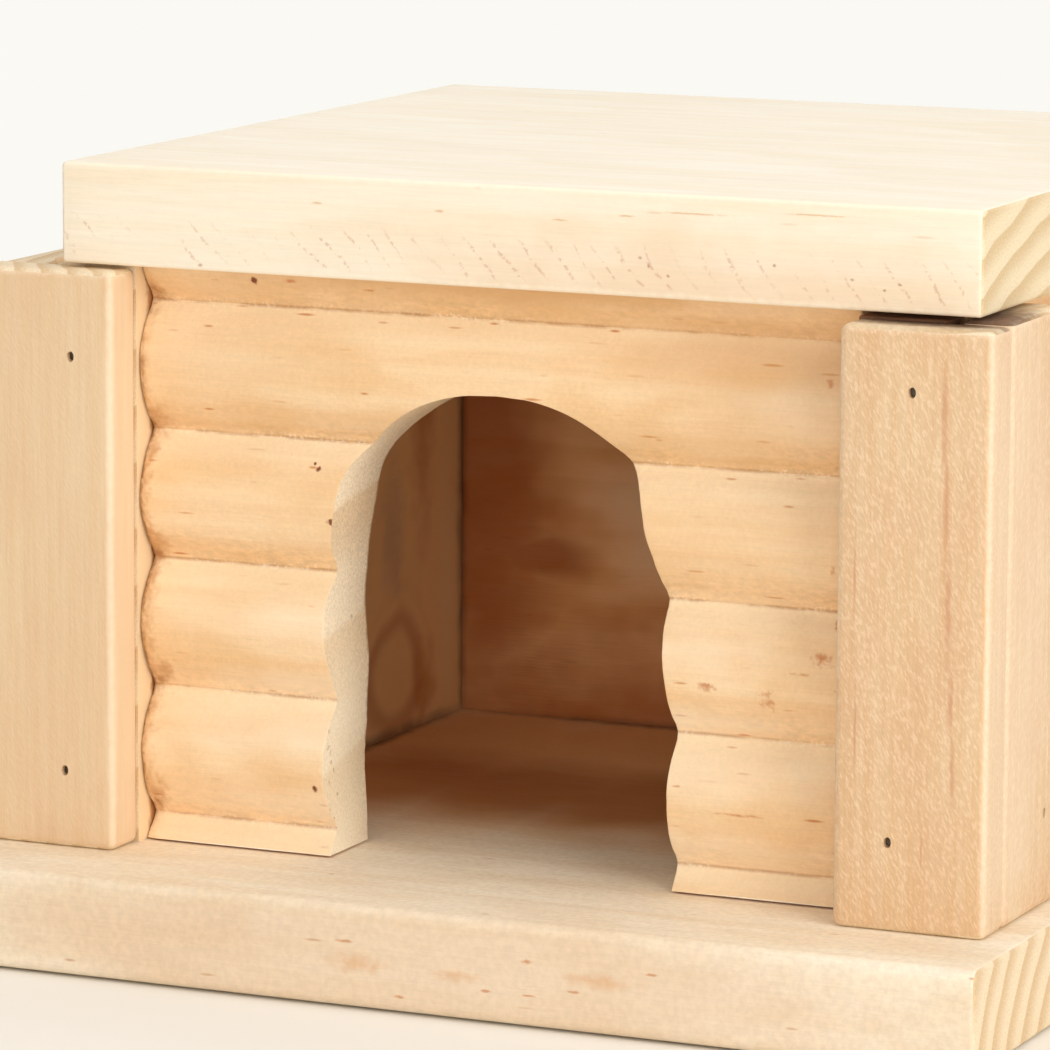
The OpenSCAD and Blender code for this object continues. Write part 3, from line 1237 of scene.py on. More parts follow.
@dataclass
class LogWall:
    """A wall board with half-log fronts, built as two grids of quads beside its doorway.

    Attributes:
        node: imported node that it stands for.
        turn: degrees that turn its -Y crest side to where the wall faces.
        seed: sets its own unevenness.
        materials: crest side, sawn ends and doorway, inner side.
        doorway: its doorway, or None.
        base_top: height of the floor in the row frame, in millimetres.
        groove_z: height of the lowest groove above the floor.
        pitch: height of a log.
        relief: depth of the grooves.
        crease: half height over which sanding softened the grooves.
        end_wear: width of the worn strip at both ends of the logs.
        end_drop: how far the logs fall away there.
        columns: faces from the doorway to an end.
        bevel: width of the sanded arrises.
        top_gap: how much lower than its node the board was sawn.
    """

    node: str
    turn: float
    seed: float
    materials: Sequence[bpy.types.Material]
    doorway: Optional[Doorway] = None
    base_top: float = 18.0
    groove_z: float = 4.8
    pitch: float = 23.25
    relief: float = 6.2
    crease: float = 1.3
    end_wear: float = 2.0
    end_drop: float = 0.6
    columns: int = 36
    bevel: float = 0.38
    top_gap: float = 0.0

    def depth(self, z: float) -> float:
        """Depth of the milled face behind the crests, with its grooves sanded to a soft crease.

        Args:
            z: height above the floor.

        Returns:
            The depth.
        """
        log_r = (self.pitch ** 2 / 4 + self.relief ** 2) / (2 * self.relief)
        total = 0.0
        tries = 9
        for i in range(tries):
            phase = (z + self.crease * (2 * i / (tries - 1) - 1) - self.groove_z) / self.pitch
            from_mid = (phase - math.floor(phase) - 0.5) * self.pitch
            total += log_r - math.sqrt(log_r ** 2 - from_mid ** 2)
        return total / tries

    def build(self) -> bpy.types.Object:
        """Build the wall over its node.

        Returns:
            The object.
        """
        low, high = box_mm(self.node)
        size = high - low
        length, thick = (size.x, size.y) if self.turn % 180 == 0 else (size.y, size.x)
        rows = self._levels(low.z - self.base_top, high.z - self.base_top - self.top_gap)
        bm = bmesh.new()
        sides = []
        for side in (-1, 1):
            far = side * length / 2
            front, back = [], []
            for z in rows:
                near = self.doorway.edge(side, z, self.seed) if self.doorway else 0.0
                xs = [near + (far - near) * self._spread(i) for i in range(self.columns + 1)]
                front.append([bm.verts.new(self._milled(x, z, abs(far - x), rows)) for x in xs])
                back.append([bm.verts.new((x, thick, z)) for x in xs])
            sides.append((front, back))
        self._skin(bm, sides, rows)
        bmesh.ops.remove_doubles(bm, verts=bm.verts, dist=WELD_MM)
        bmesh.ops.dissolve_degenerate(bm, dist=WELD_MM / 2, edges=bm.edges)
        self._ease(bm)
        turn = Matrix.Rotation(math.radians(self.turn), 4, "Z")
        centre = (low + high) / 2
        shift = Vector((centre.x, centre.y, self.base_top)) - turn @ Vector((0, thick / 2, 0))
        for vertex in bm.verts:
            vertex.co = turn @ vertex.co + shift
        return mesh_object(self.node + "_timber", bm, self.materials, 28.0)

    def _levels(self, low: float, high: float) -> list[float]:
        """Place the mesh rows: on the arcs of the logs and, beside a doorway, on its arch.

        Args:
            low: foot of the wall above the floor.
            high: its top.

        Returns:
            The heights, from the foot up.
        """
        per_log = 16
        closest = 0.18
        rows = [low, high]
        first = math.floor((low - self.groove_z) / self.pitch)
        steps = range(first * per_log, (first + 7) * per_log)
        heights = [self.groove_z + self.pitch * i / per_log for i in steps]
        rows += [z for z in heights[::per_log] if low < z < high]
        if self.doorway:
            arch = self.doorway.levels()
            rows.append(arch[-1])
            heights += arch[:-1]
        for z in sorted(heights):
            if low < z < high and all(abs(z - other) > closest for other in rows):
                rows.append(z)
        return sorted(rows)

    def _spread(self, i: int) -> float:
        """Share of the way from the doorway to the wall's end, closer together at both."""
        share = i / self.columns
        return 0.5 * share + 0.25 * (1 - math.cos(math.pi * share))

    def _milled(self, x: float, z: float, to_end: float, rows: Sequence[float]) -> Vector:
        """Place a point of the milled face, with the cutter's unevenness, always inwards.

        Args:
            x: place along the wall.
            z: height above the floor.
            to_end: distance from the wall's end.
            rows: all heights, from the foot up.

        Returns:
            The point before the wall is turned.
        """
        waves = (0.13 * (1 + wander(x / 24, z / 9, 0.0, self.seed))
                 + 0.08 * (1 + wander(x / 6, z / 4, 2.0, self.seed)))
        worn = max(0.0, 1 - to_end / self.end_wear) ** 2 * self.end_drop
        worn *= 1 + 0.6 * wander(z / 5, 0.0, 9.0, self.seed)
        inside = max(0.0, min(1.0, (z - rows[0]) / 4, (rows[-1] - z) / 4))
        lift = 0.25 * wander(x / 17, z / 14, 5.0, self.seed) * inside
        return Vector((x, self.depth(z) + waves + worn, z + lift))

    def _skin(self, bm: bmesh.types.BMesh, sides: list, rows: Sequence[float]) -> None:
        """Join the rows into faces: both faces, the doorway, the ends, the top and the foot.

        Args:
            bm: the mesh.
            sides: for each side of the doorway its front and back points, by row and column.
            rows: all heights, from the foot up.
        """
        crown = self.doorway.height if self.doorway else -math.inf
        last = len(rows) - 1
        for front, back in sides:
            for r in range(last):
                for c in range(self.columns):
                    self._face(bm, 0, front[r][c], front[r][c + 1], front[r + 1][c + 1], front[r + 1][c])
                    self._face(bm, 2, back[r][c], back[r + 1][c], back[r + 1][c + 1], back[r][c + 1])
                if rows[r] < crown - WELD_MM:
                    self._face(bm, 1, front[r][0], front[r + 1][0], back[r + 1][0], back[r][0])
                self._face(bm, 1, front[r][-1], back[r][-1], back[r + 1][-1], front[r + 1][-1])
            for c in range(self.columns):
                self._face(bm, 2, front[0][c], back[0][c], back[0][c + 1], front[0][c + 1])
                self._face(bm, 0, front[last][c], front[last][c + 1], back[last][c + 1], back[last][c])

    @staticmethod
    def _face(bm: bmesh.types.BMesh, slot: int, *corners: bmesh.types.BMVert) -> None:
        """Add one face with a material number."""
        bm.faces.new(corners).material_index = slot

    def _ease(self, bm: bmesh.types.BMesh) -> None:
        """Round the edges between faces of different kinds, and the rim, as sandpaper leaves them.

        The edges in the room's corners and at its floor stay sharp, as no sandpaper gets there.

        Args:
            bm: the mesh.
        """
        bmesh.ops.recalc_face_normals(bm, faces=bm.faces)
        top = max(vertex.co.z for vertex in bm.verts)
        reach = max(abs(vertex.co.x) for vertex in bm.verts)
        back = max(vertex.co.y for vertex in bm.verts)
        foot = min(vertex.co.z for vertex in bm.verts)
        edges = []
        for edge in bm.edges:
            points = [vertex.co for vertex in edge.verts]
            kinds = {face.material_index for face in edge.link_faces}
            in_corner = all(abs(point.x) > reach - WELD_MM and point.y > back - WELD_MM for point in points)
            on_floor = all(point.z < foot + WELD_MM for point in points)
            at_top = all(point.z > top - WELD_MM for point in points)
            if len(kinds) == 2 and not in_corner and not on_floor:
                edges.append(edge)
            elif at_top and edge.calc_face_angle(0.0) > math.radians(45):
                edges.append(edge)
        bmesh.ops.bevel(bm, geom=edges, offset=self.bevel, segments=2, profile=0.5, affect="EDGES",
                        clamp_overlap=True)


# ---------------------------------------------------------------- sub-assemblies


@dataclass
class Walls:
    """The four log-profiled walls. Outside they are freshly milled, inside they are plainly planed.

    Attributes:
        groove_z: height of the lowest groove above the floor.
        pitch: height of a log.
        door_x: centre of the doorway.
        mark_depth: how far the front's marks reach into the wood.
        right_gap: how far the right wall's top stays below the roof.
    """

    groove_z: float = 4.8
    pitch: float = 23.25
    door_x: float = 1.6
    mark_depth: float = 7.0
    right_gap: float = 1.3

    def build(self) -> list[tuple[bpy.types.Object, str, str]]:
        """Build the walls.

        Returns:
            Each wall with its node and slot.
        """
        base_top = box_mm("base_board")[1].z
        logs = MilledLogs(base_top + self.groove_z, self.pitch)
        outside = Pine("pine, moulded to half logs",
                       features=(logs, ResinCanals("C97C3C", 0.85, (11.0, 2.6)), Nap(1.1, 0.022)))
        # Painted shade: the inner faces are a deeper, more orange pine than the outside, for the dim room.
        inside = Pine("pine, planed inner face", pale="FCCB93", body="FBC48B", ring="DE9853", cloud="E29A55",
                      features=(ResinCanals(strength=0.5),))
        # The rings of the board that the jigsaw crossed are wide and nearly straight.
        jigsawn = EndGrainPine("pine end grain, jigsawn", pale="F8E6CA", dark="E6C9A2", ring_mm=22.1,
                               ring_share=0.75, pith=(52.0, -321.0), pore_mm=0.50, pore_share=0.14)
        sawn = EndGrainPine("pine end grain, sawn", ring_mm=9.0)
        pieces = []
        for seed, (node, turn, grain) in enumerate((("front_wall", 0.0, Grain.ALONG_X),
                                                    ("back_wall", 180.0, Grain.ALONG_X),
                                                    ("side_wall_left", -90.0, Grain.ALONG_Y),
                                                    ("side_wall_right", 90.0, Grain.ALONG_Y)), 1):
            shift = (seed * 57.0, seed * 31.0, seed * 43.0)
            front = node == "front_wall"
            own, cut = (), ()
            inner = self._inner_marks(node) if grain is Grain.ALONG_Y else self._back_marks(node)
            if front:
                own, cut = self._front_marks(box_mm(node)[0].y), self._jamb_marks()
            elif node == "side_wall_right":
                own = cut = (self._dark_top(node),)
            elif node == "back_wall":
                cut = inner[-1:]
            ends = jigsawn.material(grain, own=cut) if front else sawn.material(grain, shift, cut)
            wall = LogWall(node, turn, float(seed),
                           [outside.material(grain, shift, own), ends, inside.material(grain, shift, inner)],
                           Doorway(self.door_x) if front else None, base_top, self.groove_z, self.pitch,
                           top_gap=self.right_gap if node == "side_wall_right" else 0.0)
            pieces.append((wall.build(), node, "pine_log_wall"))
        return pieces

    @staticmethod
    def _jamb_marks() -> tuple[Spots, ...]:
        """List the marks of the doorway's left cut.

        Returns:
            Painted light low down, brown specks beside the front arris and torn fibre along the inner one.
        """
        places = ((-68.0, 38.0), (-66.5, 35.0), (-67.2, 31.5), (-64.2, 29.0), (-67.6, 26.5), (-65.4, 33.5),
                  (-58.5, 60.0), (-68.4, 41.0), (-66.0, 25.0), (-67.0, 37.0))
        # Painted light: the lower half of the cut is painted paler.
        pale = Spots("FFF3D8", 0.42, (((-31.0, -62.0, 30.0), (6.0, 16.0, 48.0)),), 0.4, 6.0, 0.2)
        specks = tuple(((-31.0, y, z), (4.0, 0.5, 0.6)) for y, z in places)
        torn = (((-30.0, -52.7, 62.0), (8.0, 0.55, 48.0)),)
        return (pale, Spots("9C683A", 0.55, specks, 2.2, 0.8, 0.2), Spots("8A5A30", 0.6, torn, 1.8, 1.6, 0.0))

    @staticmethod
    def _dark_top(node: str) -> Spots:
        """Dust and shade at the top of the right wall's front end, which doesn't reach the roof.

        Args:
            node: the wall's node.

        Returns:
            The mark.
        """
        low, high = box_mm(node)
        middle = (low.x + high.x) / 2
        return Spots("7A4A30", 0.90, (((middle, low.y, high.z), (15.0, 10.0, 8.0)),), 0.4, 2.0, 0.75)

    @staticmethod
    def _back_marks(node: str) -> tuple[Spots, ...]:
        """List what the inner face of the front or back wall has of its own.

        The back wall is redder near the floor and its left end as painted shade, and paler between as painted
        light.

        Args:
            node: the wall's node.

        Returns:
            Painted light, shade and corner shade for the back wall, and paler sapwood all over for another
            one.
        """
        low, high = box_mm(node)
        if node != "back_wall":
            return (Spots("FFEACD", 0.85, (((0.0, high.y, 70.0), (140.0, 4.0, 140.0)),), 0.2, 16.0, 0.8),)
        face = low.y
        # Painted shade, deep red, near the floor and the left end; painted light between; painted shade in
        # the corners.
        deep = (((0.0, face, 12.0), (120.0, 4.0, 36.0)), ((-64.0, face, 70.0), (22.0, 4.0, 80.0)),
                ((-52.0, face, 50.0), (16.0, 4.0, 7.0)))
        pale = (((-5.0, face, 104.0), (60.0, 4.0, 40.0)), ((-12.0, face, 58.0), (38.0, 4.0, 18.0)))
        corner = (((-69.0, face, 70.0), (2.6, 4.0, 90.0)), ((0.0, face, 17.0), (90.0, 4.0, 2.6)))
        return (Spots("FFE2BE", 0.72, pale, 0.8, 16.0, 0.3), Spots("B05614", 0.72, deep, 0.6, 14.0, 0.3),
                Spots("5A2E14", 0.7, corner, 0.5, 6.0, 0.1))

    @staticmethod
    def _inner_marks(node: str) -> tuple[Feature, ...]:
        """List what the inner face of a side wall has of its own.

        Args:
            node: the wall's node.

        Returns:
            Tints, a knot and painted shade in the corners on the left wall and paler sapwood on the right
            one, then painted shade in the crevice by the front wall, and the paler end beside the logs.
        """
        low, high = box_mm(node)
        front = box_mm("front_wall")
        left = node == "side_wall_left"
        face = high.x if left else low.x
        middle = (front[0].y + front[1].y) / 2
        end_half = middle - low.y - 3.0
        outside = Spots("F4D9B2", 1.0, (((face, low.y, 70.0), (4.0, end_half, 80.0)),), 0.3, 2.0, 0.8)
        # Painted shade in the crevice where the front wall's end meets this face.
        crevice_shade = Spots("B47B45", 0.9, (((face, middle, 70.0), (4.0, 9.0, 80.0)),), 0.2, 2.0, 0.8)
        if not left:
            sapwood = Spots("FFEACD", 0.85, (((face, 0.0, 70.0), (4.0, 200.0, 140.0)),), 0.2, 16.0, 0.8)
            return (sapwood, crevice_shade, outside)
        light = Spots("FFD8A2", 0.94, (((face, 44.0, 62.0), (4.0, 75.0, 70.0)),), 0.4, 9.0, 0.8)
        tan = Spots("FFE0B0", 0.7, (((face, 62.0, 44.0), (4.0, 6.0, 36.0)),), 0.8, 8.0, 0.2)
        bands = (((face, 50.0, 90.0), (4.0, 9.0, 44.0)), ((face, 51.0, 26.0), (4.0, 7.0, 12.0)))
        deep = Spots("C8762E", 0.55, bands, 1.0, 8.0, 0.1)
        grey = Spots("A8928E", 0.36, (((face, 36.5, 57.0), (4.0, 6.5, 18.0)),), 1.2, 7.0, 0.1)
        shade = (((face, 70.5, 70.0), (4.0, 5.0, 90.0)), ((face, 8.0, low.z), (4.0, 90.0, 2.6)))
        corner = Spots("5A2E14", 0.7, shade, 0.5, 6.0, 0.1)
        knot = Knot((face, 37.0, 30.5), (9.0, 11.5, 9.5))
        return (light, tan, deep, grey, knot, corner, crevice_shade, outside)

    def _front_marks(self, crest: float) -> tuple[Spots, ...]:
        """List the front wall's own marks: tints, painted light and shade, specks, pitch stains, torn patches
        and end stains.

        Each mark is written as X, Z, half width and half height.

        Args:
            crest: place of the logs' crests along Y.

        Returns:
            The tints first, then the marks on them.
        """
        specks = ((-46.1, 120.6, 0.8, 0.9), (-33.5, 87.8, 0.6, 0.6), (-34.5, 88.7, 0.35, 0.3),
                  (-30.4, 78.8, 1.0, 0.9), (-33.7, 30.6, 0.7, 0.8))
        reddish = ((-39.0, 120.8, 1.5, 0.5), (-24.0, 120.0, 1.6, 0.3), (63.0, 109.1, 0.9, 1.0),
                   (64.0, 77.5, 0.7, 1.4), (63.9, 67.5, 0.8, 1.2), (62.0, 62.0, 2.2, 0.9),
                   (58.6, 58.9, 3.1, 0.4), (41.0, 55.6, 1.6, 0.6), (47.5, 33.4, 7.5, 0.35),
                   (35.7, 37.4, 1.3, 0.35))
        torn = ((52.2, 54.0, 2.0, 2.3), (62.3, 61.5, 3.0, 1.5), (41.2, 55.3, 2.2, 1.2))
        # Painted shade, with some stain, at both ends of the logs.
        end_shade_and_stains = ((-66.0, 95.0, 3.4, 4.6), (-66.1, 72.0, 3.0, 4.6), (-65.4, 48.5, 3.6, 4.8),
                      (-66.0, 27.5, 3.2, 5.0), (-67.4, 70.0, 2.7, 60.0), (67.0, 70.0, 1.2, 60.0))
        # Painted shade in the notches where the grooves meet the battens.
        notches = ((-66.4, 117.4, 1.9, 2.4), (-67.0, 93.2, 1.3, 1.4), (-66.6, 69.9, 1.6, 1.5),
                   (-66.2, 47.0, 2.0, 1.8), (-66.4, 24.6, 1.2, 2.6), (-67.6, 104.0, 0.9, 6.0),
                   (66.3, 93.0, 1.6, 0.5), (66.6, 114.0, 1.2, 1.6))
        # Painted shade under the roof and on the upper logs at the right.
        under_roof = ((0.0, 122.8, 80.0, 5.6),)
        right = ((48.0, 108.0, 34.0, 17.0),)
        foot = ((-47.0, 18.2, 24.0, 0.45), (50.0, 18.2, 22.0, 0.45))
        # Painted light: the lower logs are painted paler, as the floor lights them from below.
        low_logs = ((0.0, 26.0, 90.0, 6.5), (0.0, 48.5, 90.0, 4.5), (0.0, 38.0, 90.0, 7.0),
                    (0.0, 60.0, 90.0, 7.0))
        first = ((-55.0, 106.0, 30.0, 8.0), (58.0, 104.0, 24.0, 6.0))
        second = ((20.0, 82.0, 90.0, 8.0),)
        # Painted shade along the crevices at the wall's two ends.
        seams = ((-68.2, 70.0, 1.0, 60.0), (68.1, 70.0, 0.35, 60.0))
        kinds = (("CF9A60", 0.66, under_roof, 0.5, 12.0, 0.2), ("CF9A60", 0.46, right, 0.5, 12.0, 0.2),
                 ("FFF3DE", 0.5, low_logs, 0.4, 8.0, 0.1), ("FFF3DE", 0.22, first, 0.4, 8.0, 0.0),
                 ("E4B47C", 0.45, second, 0.4, 8.0, 0.1),
                 ("7A3510", 0.95, specks, 1.2, 0.9, 0.5),
                 ("C5733A", 0.70, reddish, 1.5, 1.2, 0.2), ("C98250", 0.72, torn, 1.9, 0.9, 0.2),
                 ("B87A3C", 0.60, end_shade_and_stains, 1.7, 2.2, 0.0), ("A0642C", 0.66, notches, 1.6, 1.4, 0.0),
                 ("95643A", 0.75, seams, 1.7, 1.3, 0.2), ("FFF6E6", 0.7, foot, 0.6, 2.5, 0.6))
        middle = crest + self.mark_depth / 2
        return tuple(Spots(colour, strength, on_front(middle, self.mark_depth, marks), ragged, wave, core)
                     for colour, strength, marks, ragged, wave, core in kinds)


@dataclass
class Battens:
    """The eight corner battens, cut with a fine saw and left slightly fuzzy.

    Attributes:
        edge_r: rounding of their long edges.
        end_r: rounding of their ends.
        sunk: how deep the brads' heads lie under the batten's face.
        fuzzy: the battens whose fibre stands up most.
        painted_light_sides: the battens whose right side is painted paler, as painted light from the right.
    """

    edge_r: float = 1.4
    end_r: float = 1.5
    sunk: float = 1.2
    fuzzy: tuple[str, ...] = ("front_batten_right", "side_batten_front_right", "side_batten_rear_left",
                              "back_batten_left")
    painted_light_sides: tuple[str, ...] = ("front_batten_left", "front_batten_right", "side_batten_front_right")

    def build(self) -> list[tuple[bpy.types.Object, str, str]]:
        """Build the battens.

        Returns:
            Each batten with its node and slot.
        """
        sawn = Pine("pine, fine-sawn batten", pale="EFDCBE", body="E0BC92", ring="D3A077", cloud="DAAA80",
                    cloud_share=0.26, ring_mm=11.0, ring_share=0.14, streak_mm=1.6, streak_share=0.22,
                    roughness=0.72, bump=0.5, pith=(40.0, -30.0), features=())
        end = EndGrainPine("pine end grain, sawn", ring_mm=4.0)
        holes = self._holes()
        pieces = []
        for number, (place, across) in enumerate((("front_batten_left", Grain.ALONG_Y),
                                                  ("front_batten_right", Grain.ALONG_Y),
                                                  ("side_batten_front_left", Grain.ALONG_X),
                                                  ("side_batten_front_right", Grain.ALONG_X),
                                                  ("side_batten_rear_left", Grain.ALONG_X),
                                                  ("side_batten_rear_right", Grain.ALONG_X),
                                                  ("back_batten_left", Grain.ALONG_Y),
                                                  ("back_batten_right", Grain.ALONG_Y))):
            shift = (number * 71.0, number * 23.0, number * 37.0)
            low, high = box_mm(place)
            own = [RaisedFibre(across, 0.17 if place in self.fuzzy else 0.04),
                   WornArris(low, high, strength=0.3)]
            # Painted light: the right side, which faces the light, is painted paler.
            if place in self.painted_light_sides:
                own.append(Spots("FFF2DC", 0.25, (((high.x, low.y, 70.0), (1.6, 28.0, 80.0)),),
                                 0.5, 6.0, 0.5))
            if place == "front_batten_right":
                own += self._right_marks(low)
            elif place == "front_batten_left":
                middle = tuple((low + high) / 2)
                own.append(Spots("FAE6C4", 0.22, ((middle, (26.0, 20.0, 70.0)),), 0.3, 8.0, 0.7))
            tops = self._dark_tops(place, low, high)
            board = Board(place, Grain.ALONG_Z, self.edge_r, self.end_r, 10.0 + number,
                          [sawn.material(Grain.ALONG_Z, shift, own),
                           end.material(Grain.ALONG_Z, shift, tops)])
            piece = board.build()
            mine = [hole for hole in holes if all(low[i] - 1 <= hole.at[i] <= high[i] + 1 for i in range(3))]
            if mine:
                cut_round_holes(piece, mine)
            pieces.append((piece, place, "pine_batten"))
        return pieces

    @staticmethod
    def _dark_tops(place: str, low: Vector, high: Vector) -> tuple[Spots, ...]:
        """Dust and shade on the tops of the right corner's battens, below the gap under the roof.

        Args:
            place: the batten's node.
            low: its lowest corner.
            high: its highest corner.

        Returns:
            The dark mark, or none for another batten.
        """
        middle = (low.x + high.x) / 2
        if place == "front_batten_right":
            return (Spots("5E3826", 0.85, (((middle, high.y, high.z), (26.0, 10.5, 4.0)),), 0.4, 2.0, 0.25),)
        if place == "side_batten_front_right":
            return (Spots("5E3826", 0.85, (((middle, low.y, high.z), (12.0, 22.0, 3.0)),), 0.5, 2.0, 0.3),)
        return ()

    @staticmethod
    def _right_marks(low: Vector) -> list[Spots]:
        """List the reddish pitch streaks of the right front batten, and the warm line at its arris.

        Each mark is written as X, Z, half width and half height.

        Args:
            low: lowest corner of the batten.

        Returns:
            The marks.
        """
        streaks = ((87.5, 106.0, 0.8, 12.0), (88.0, 91.0, 0.75, 13.0), (88.6, 74.0, 0.8, 13.0),
                   (89.2, 58.0, 0.7, 11.0), (89.8, 46.0, 0.6, 8.0), (71.9, 79.0, 0.35, 12.0),
                   (72.3, 52.0, 0.35, 12.0), (84.5, 33.0, 0.3, 5.0))
        arris = ((94.9, 70.0, 0.5, 62.0),)
        return [Spots(colour, strength, on_front(low.y, 5.0, lines), 1.1, 3.5, 0.1)
                for colour, strength, lines in (("CC9370", 0.62, streaks), ("E3A767", 0.40, arris))]

    def _holes(self) -> list[Hole]:
        """Place the mouths of the brads' holes on the battens' outer faces.

        Returns:
            The holes.
        """
        holes = []
        for node, axis in (("front_batten_brads", 1), ("back_batten_brads", 1), ("side_batten_brads", 0)):
            for low, high in brads_of(node):
                mouth = (low + high) / 2
                side = math.copysign(1.0, mouth[axis])
                out = Vector((0.0, 0.0, 0.0))
                out[axis] = side
                mouth[axis] = (high if side > 0 else low)[axis] + side * self.sunk
                holes.append(Hole(mouth, out, depth=1.9))
        return holes


@dataclass
class Base:
    """The base board with its doorstep.

    Attributes:
        edge_r: rounding of its long edges.
        end_r: rounding of its ends.
        hole_depth: depth of the brad holes below.
    """

    edge_r: float = 2.2
    end_r: float = 0.9
    hole_depth: float = 2.2

    def build(self) -> list[tuple[bpy.types.Object, str, str]]:
        """Build the base board.

        Returns:
            The board with its node and slot.
        """
        low, high = box_mm("base_board")
        wood = Pine("pine, planed base board", pale="FBF0DE", body="F3E3C9", ring="E6CCA9", cloud="E8CDA9",
                    cloud_share=0.35, ring_mm=13.0, ring_share=0.30, streak_share=0.35, pith=(90.0, -120.0),
                    features=(ResinCanals(cell=(19.0, 4.0), strength=0.7), Nap(1.3, 0.065)))
        end = EndGrainPine("pine end grain, sawn", ring_mm=7.0)
        shift = (15.0, 8.0, 3.0)
        piece = Board("base_board", Grain.ALONG_X, self.edge_r, self.end_r, 21.0,
                      [wood.material(Grain.ALONG_X, shift, self._marks(low, high)),
                       end.material(Grain.ALONG_X, shift)]).build()
        cut_round_holes(piece, holes_below("base_brads", low, high, self.hole_depth))
        return [(piece, "base_board", "pine_base")]

    @staticmethod
    def _marks(low: Vector, high: Vector) -> list[Feature]:
        """List the base board's own marks.

        Args:
            low: lowest corner of the board.
            high: its highest corner.

        Returns:
            Painted shade on the room's floor, deepest just inside the doorway, painted shade at the walls'
            feet, a tinted front, pitch dashes, specks and the worn arrises.
        """
        across = (-50.0, -25.0, 0.0, 25.0, 50.0)
        # Painted shade: the room's floor is painted warmer and darker, deepest just inside the doorway and at
        # the feet of the left and back walls.
        floor = tuple(((x, 24.0, high.z), (34.0, 72.0, 3.0)) for x in across)
        middle = tuple(((x, 0.0, high.z), (34.0, 36.0, 3.0)) for x in across)
        feet = (((-69.0, 8.0, high.z), (3.6, 90.0, 3.0)), ((0.0, 69.5, high.z), (90.0, 6.0, 3.0)))
        front = (((0.0, low.y, 8.0), (120.0, 3.0, 14.0)),)
        dashes = ((-12.7, 11.8, 2.2, 0.35), (21.5, 11.6, 1.6, 0.4), (44.3, 11.6, 1.9, 0.35),
                  (13.7, 5.7, 1.4, 0.35), (21.9, 5.7, 1.5, 0.3), (30.1, 7.2, 1.6, 0.35),
                  (-2.4, 3.0, 1.6, 0.35))
        patches = ((-10.8, 8.1, 7.0, 2.4), (8.0, 7.6, 6.0, 1.4), (35.0, 9.5, 9.0, 1.8))
        specks = (((-25.7, -79.6, high.z), (0.7, 0.5, 1.0)), ((11.7, -96.6, high.z), (0.8, 0.5, 1.0)))
        return [
            Spots("F0B678", 0.80, floor, 0.25, 20.0, 0.45),
            Spots("AC601E", 0.66, middle, 0.3, 16.0, 0.3),
            Spots("4A2410", 0.8, feet, 0.5, 5.0, 0.1),
            Spots("D8B08A", 0.40, front, 0.45, 5.0, 0.45),
            Spots("C98450", 0.75, on_front(low.y, 3.0, dashes), 1.3, 1.2, 0.2),
            Spots("DDAE80", 0.7, on_front(low.y, 3.0, patches), 1.4, 2.2, 0.0),
            Spots("B98A5E", 0.6, specks),
            WornArris(low, high, strength=0.12)]


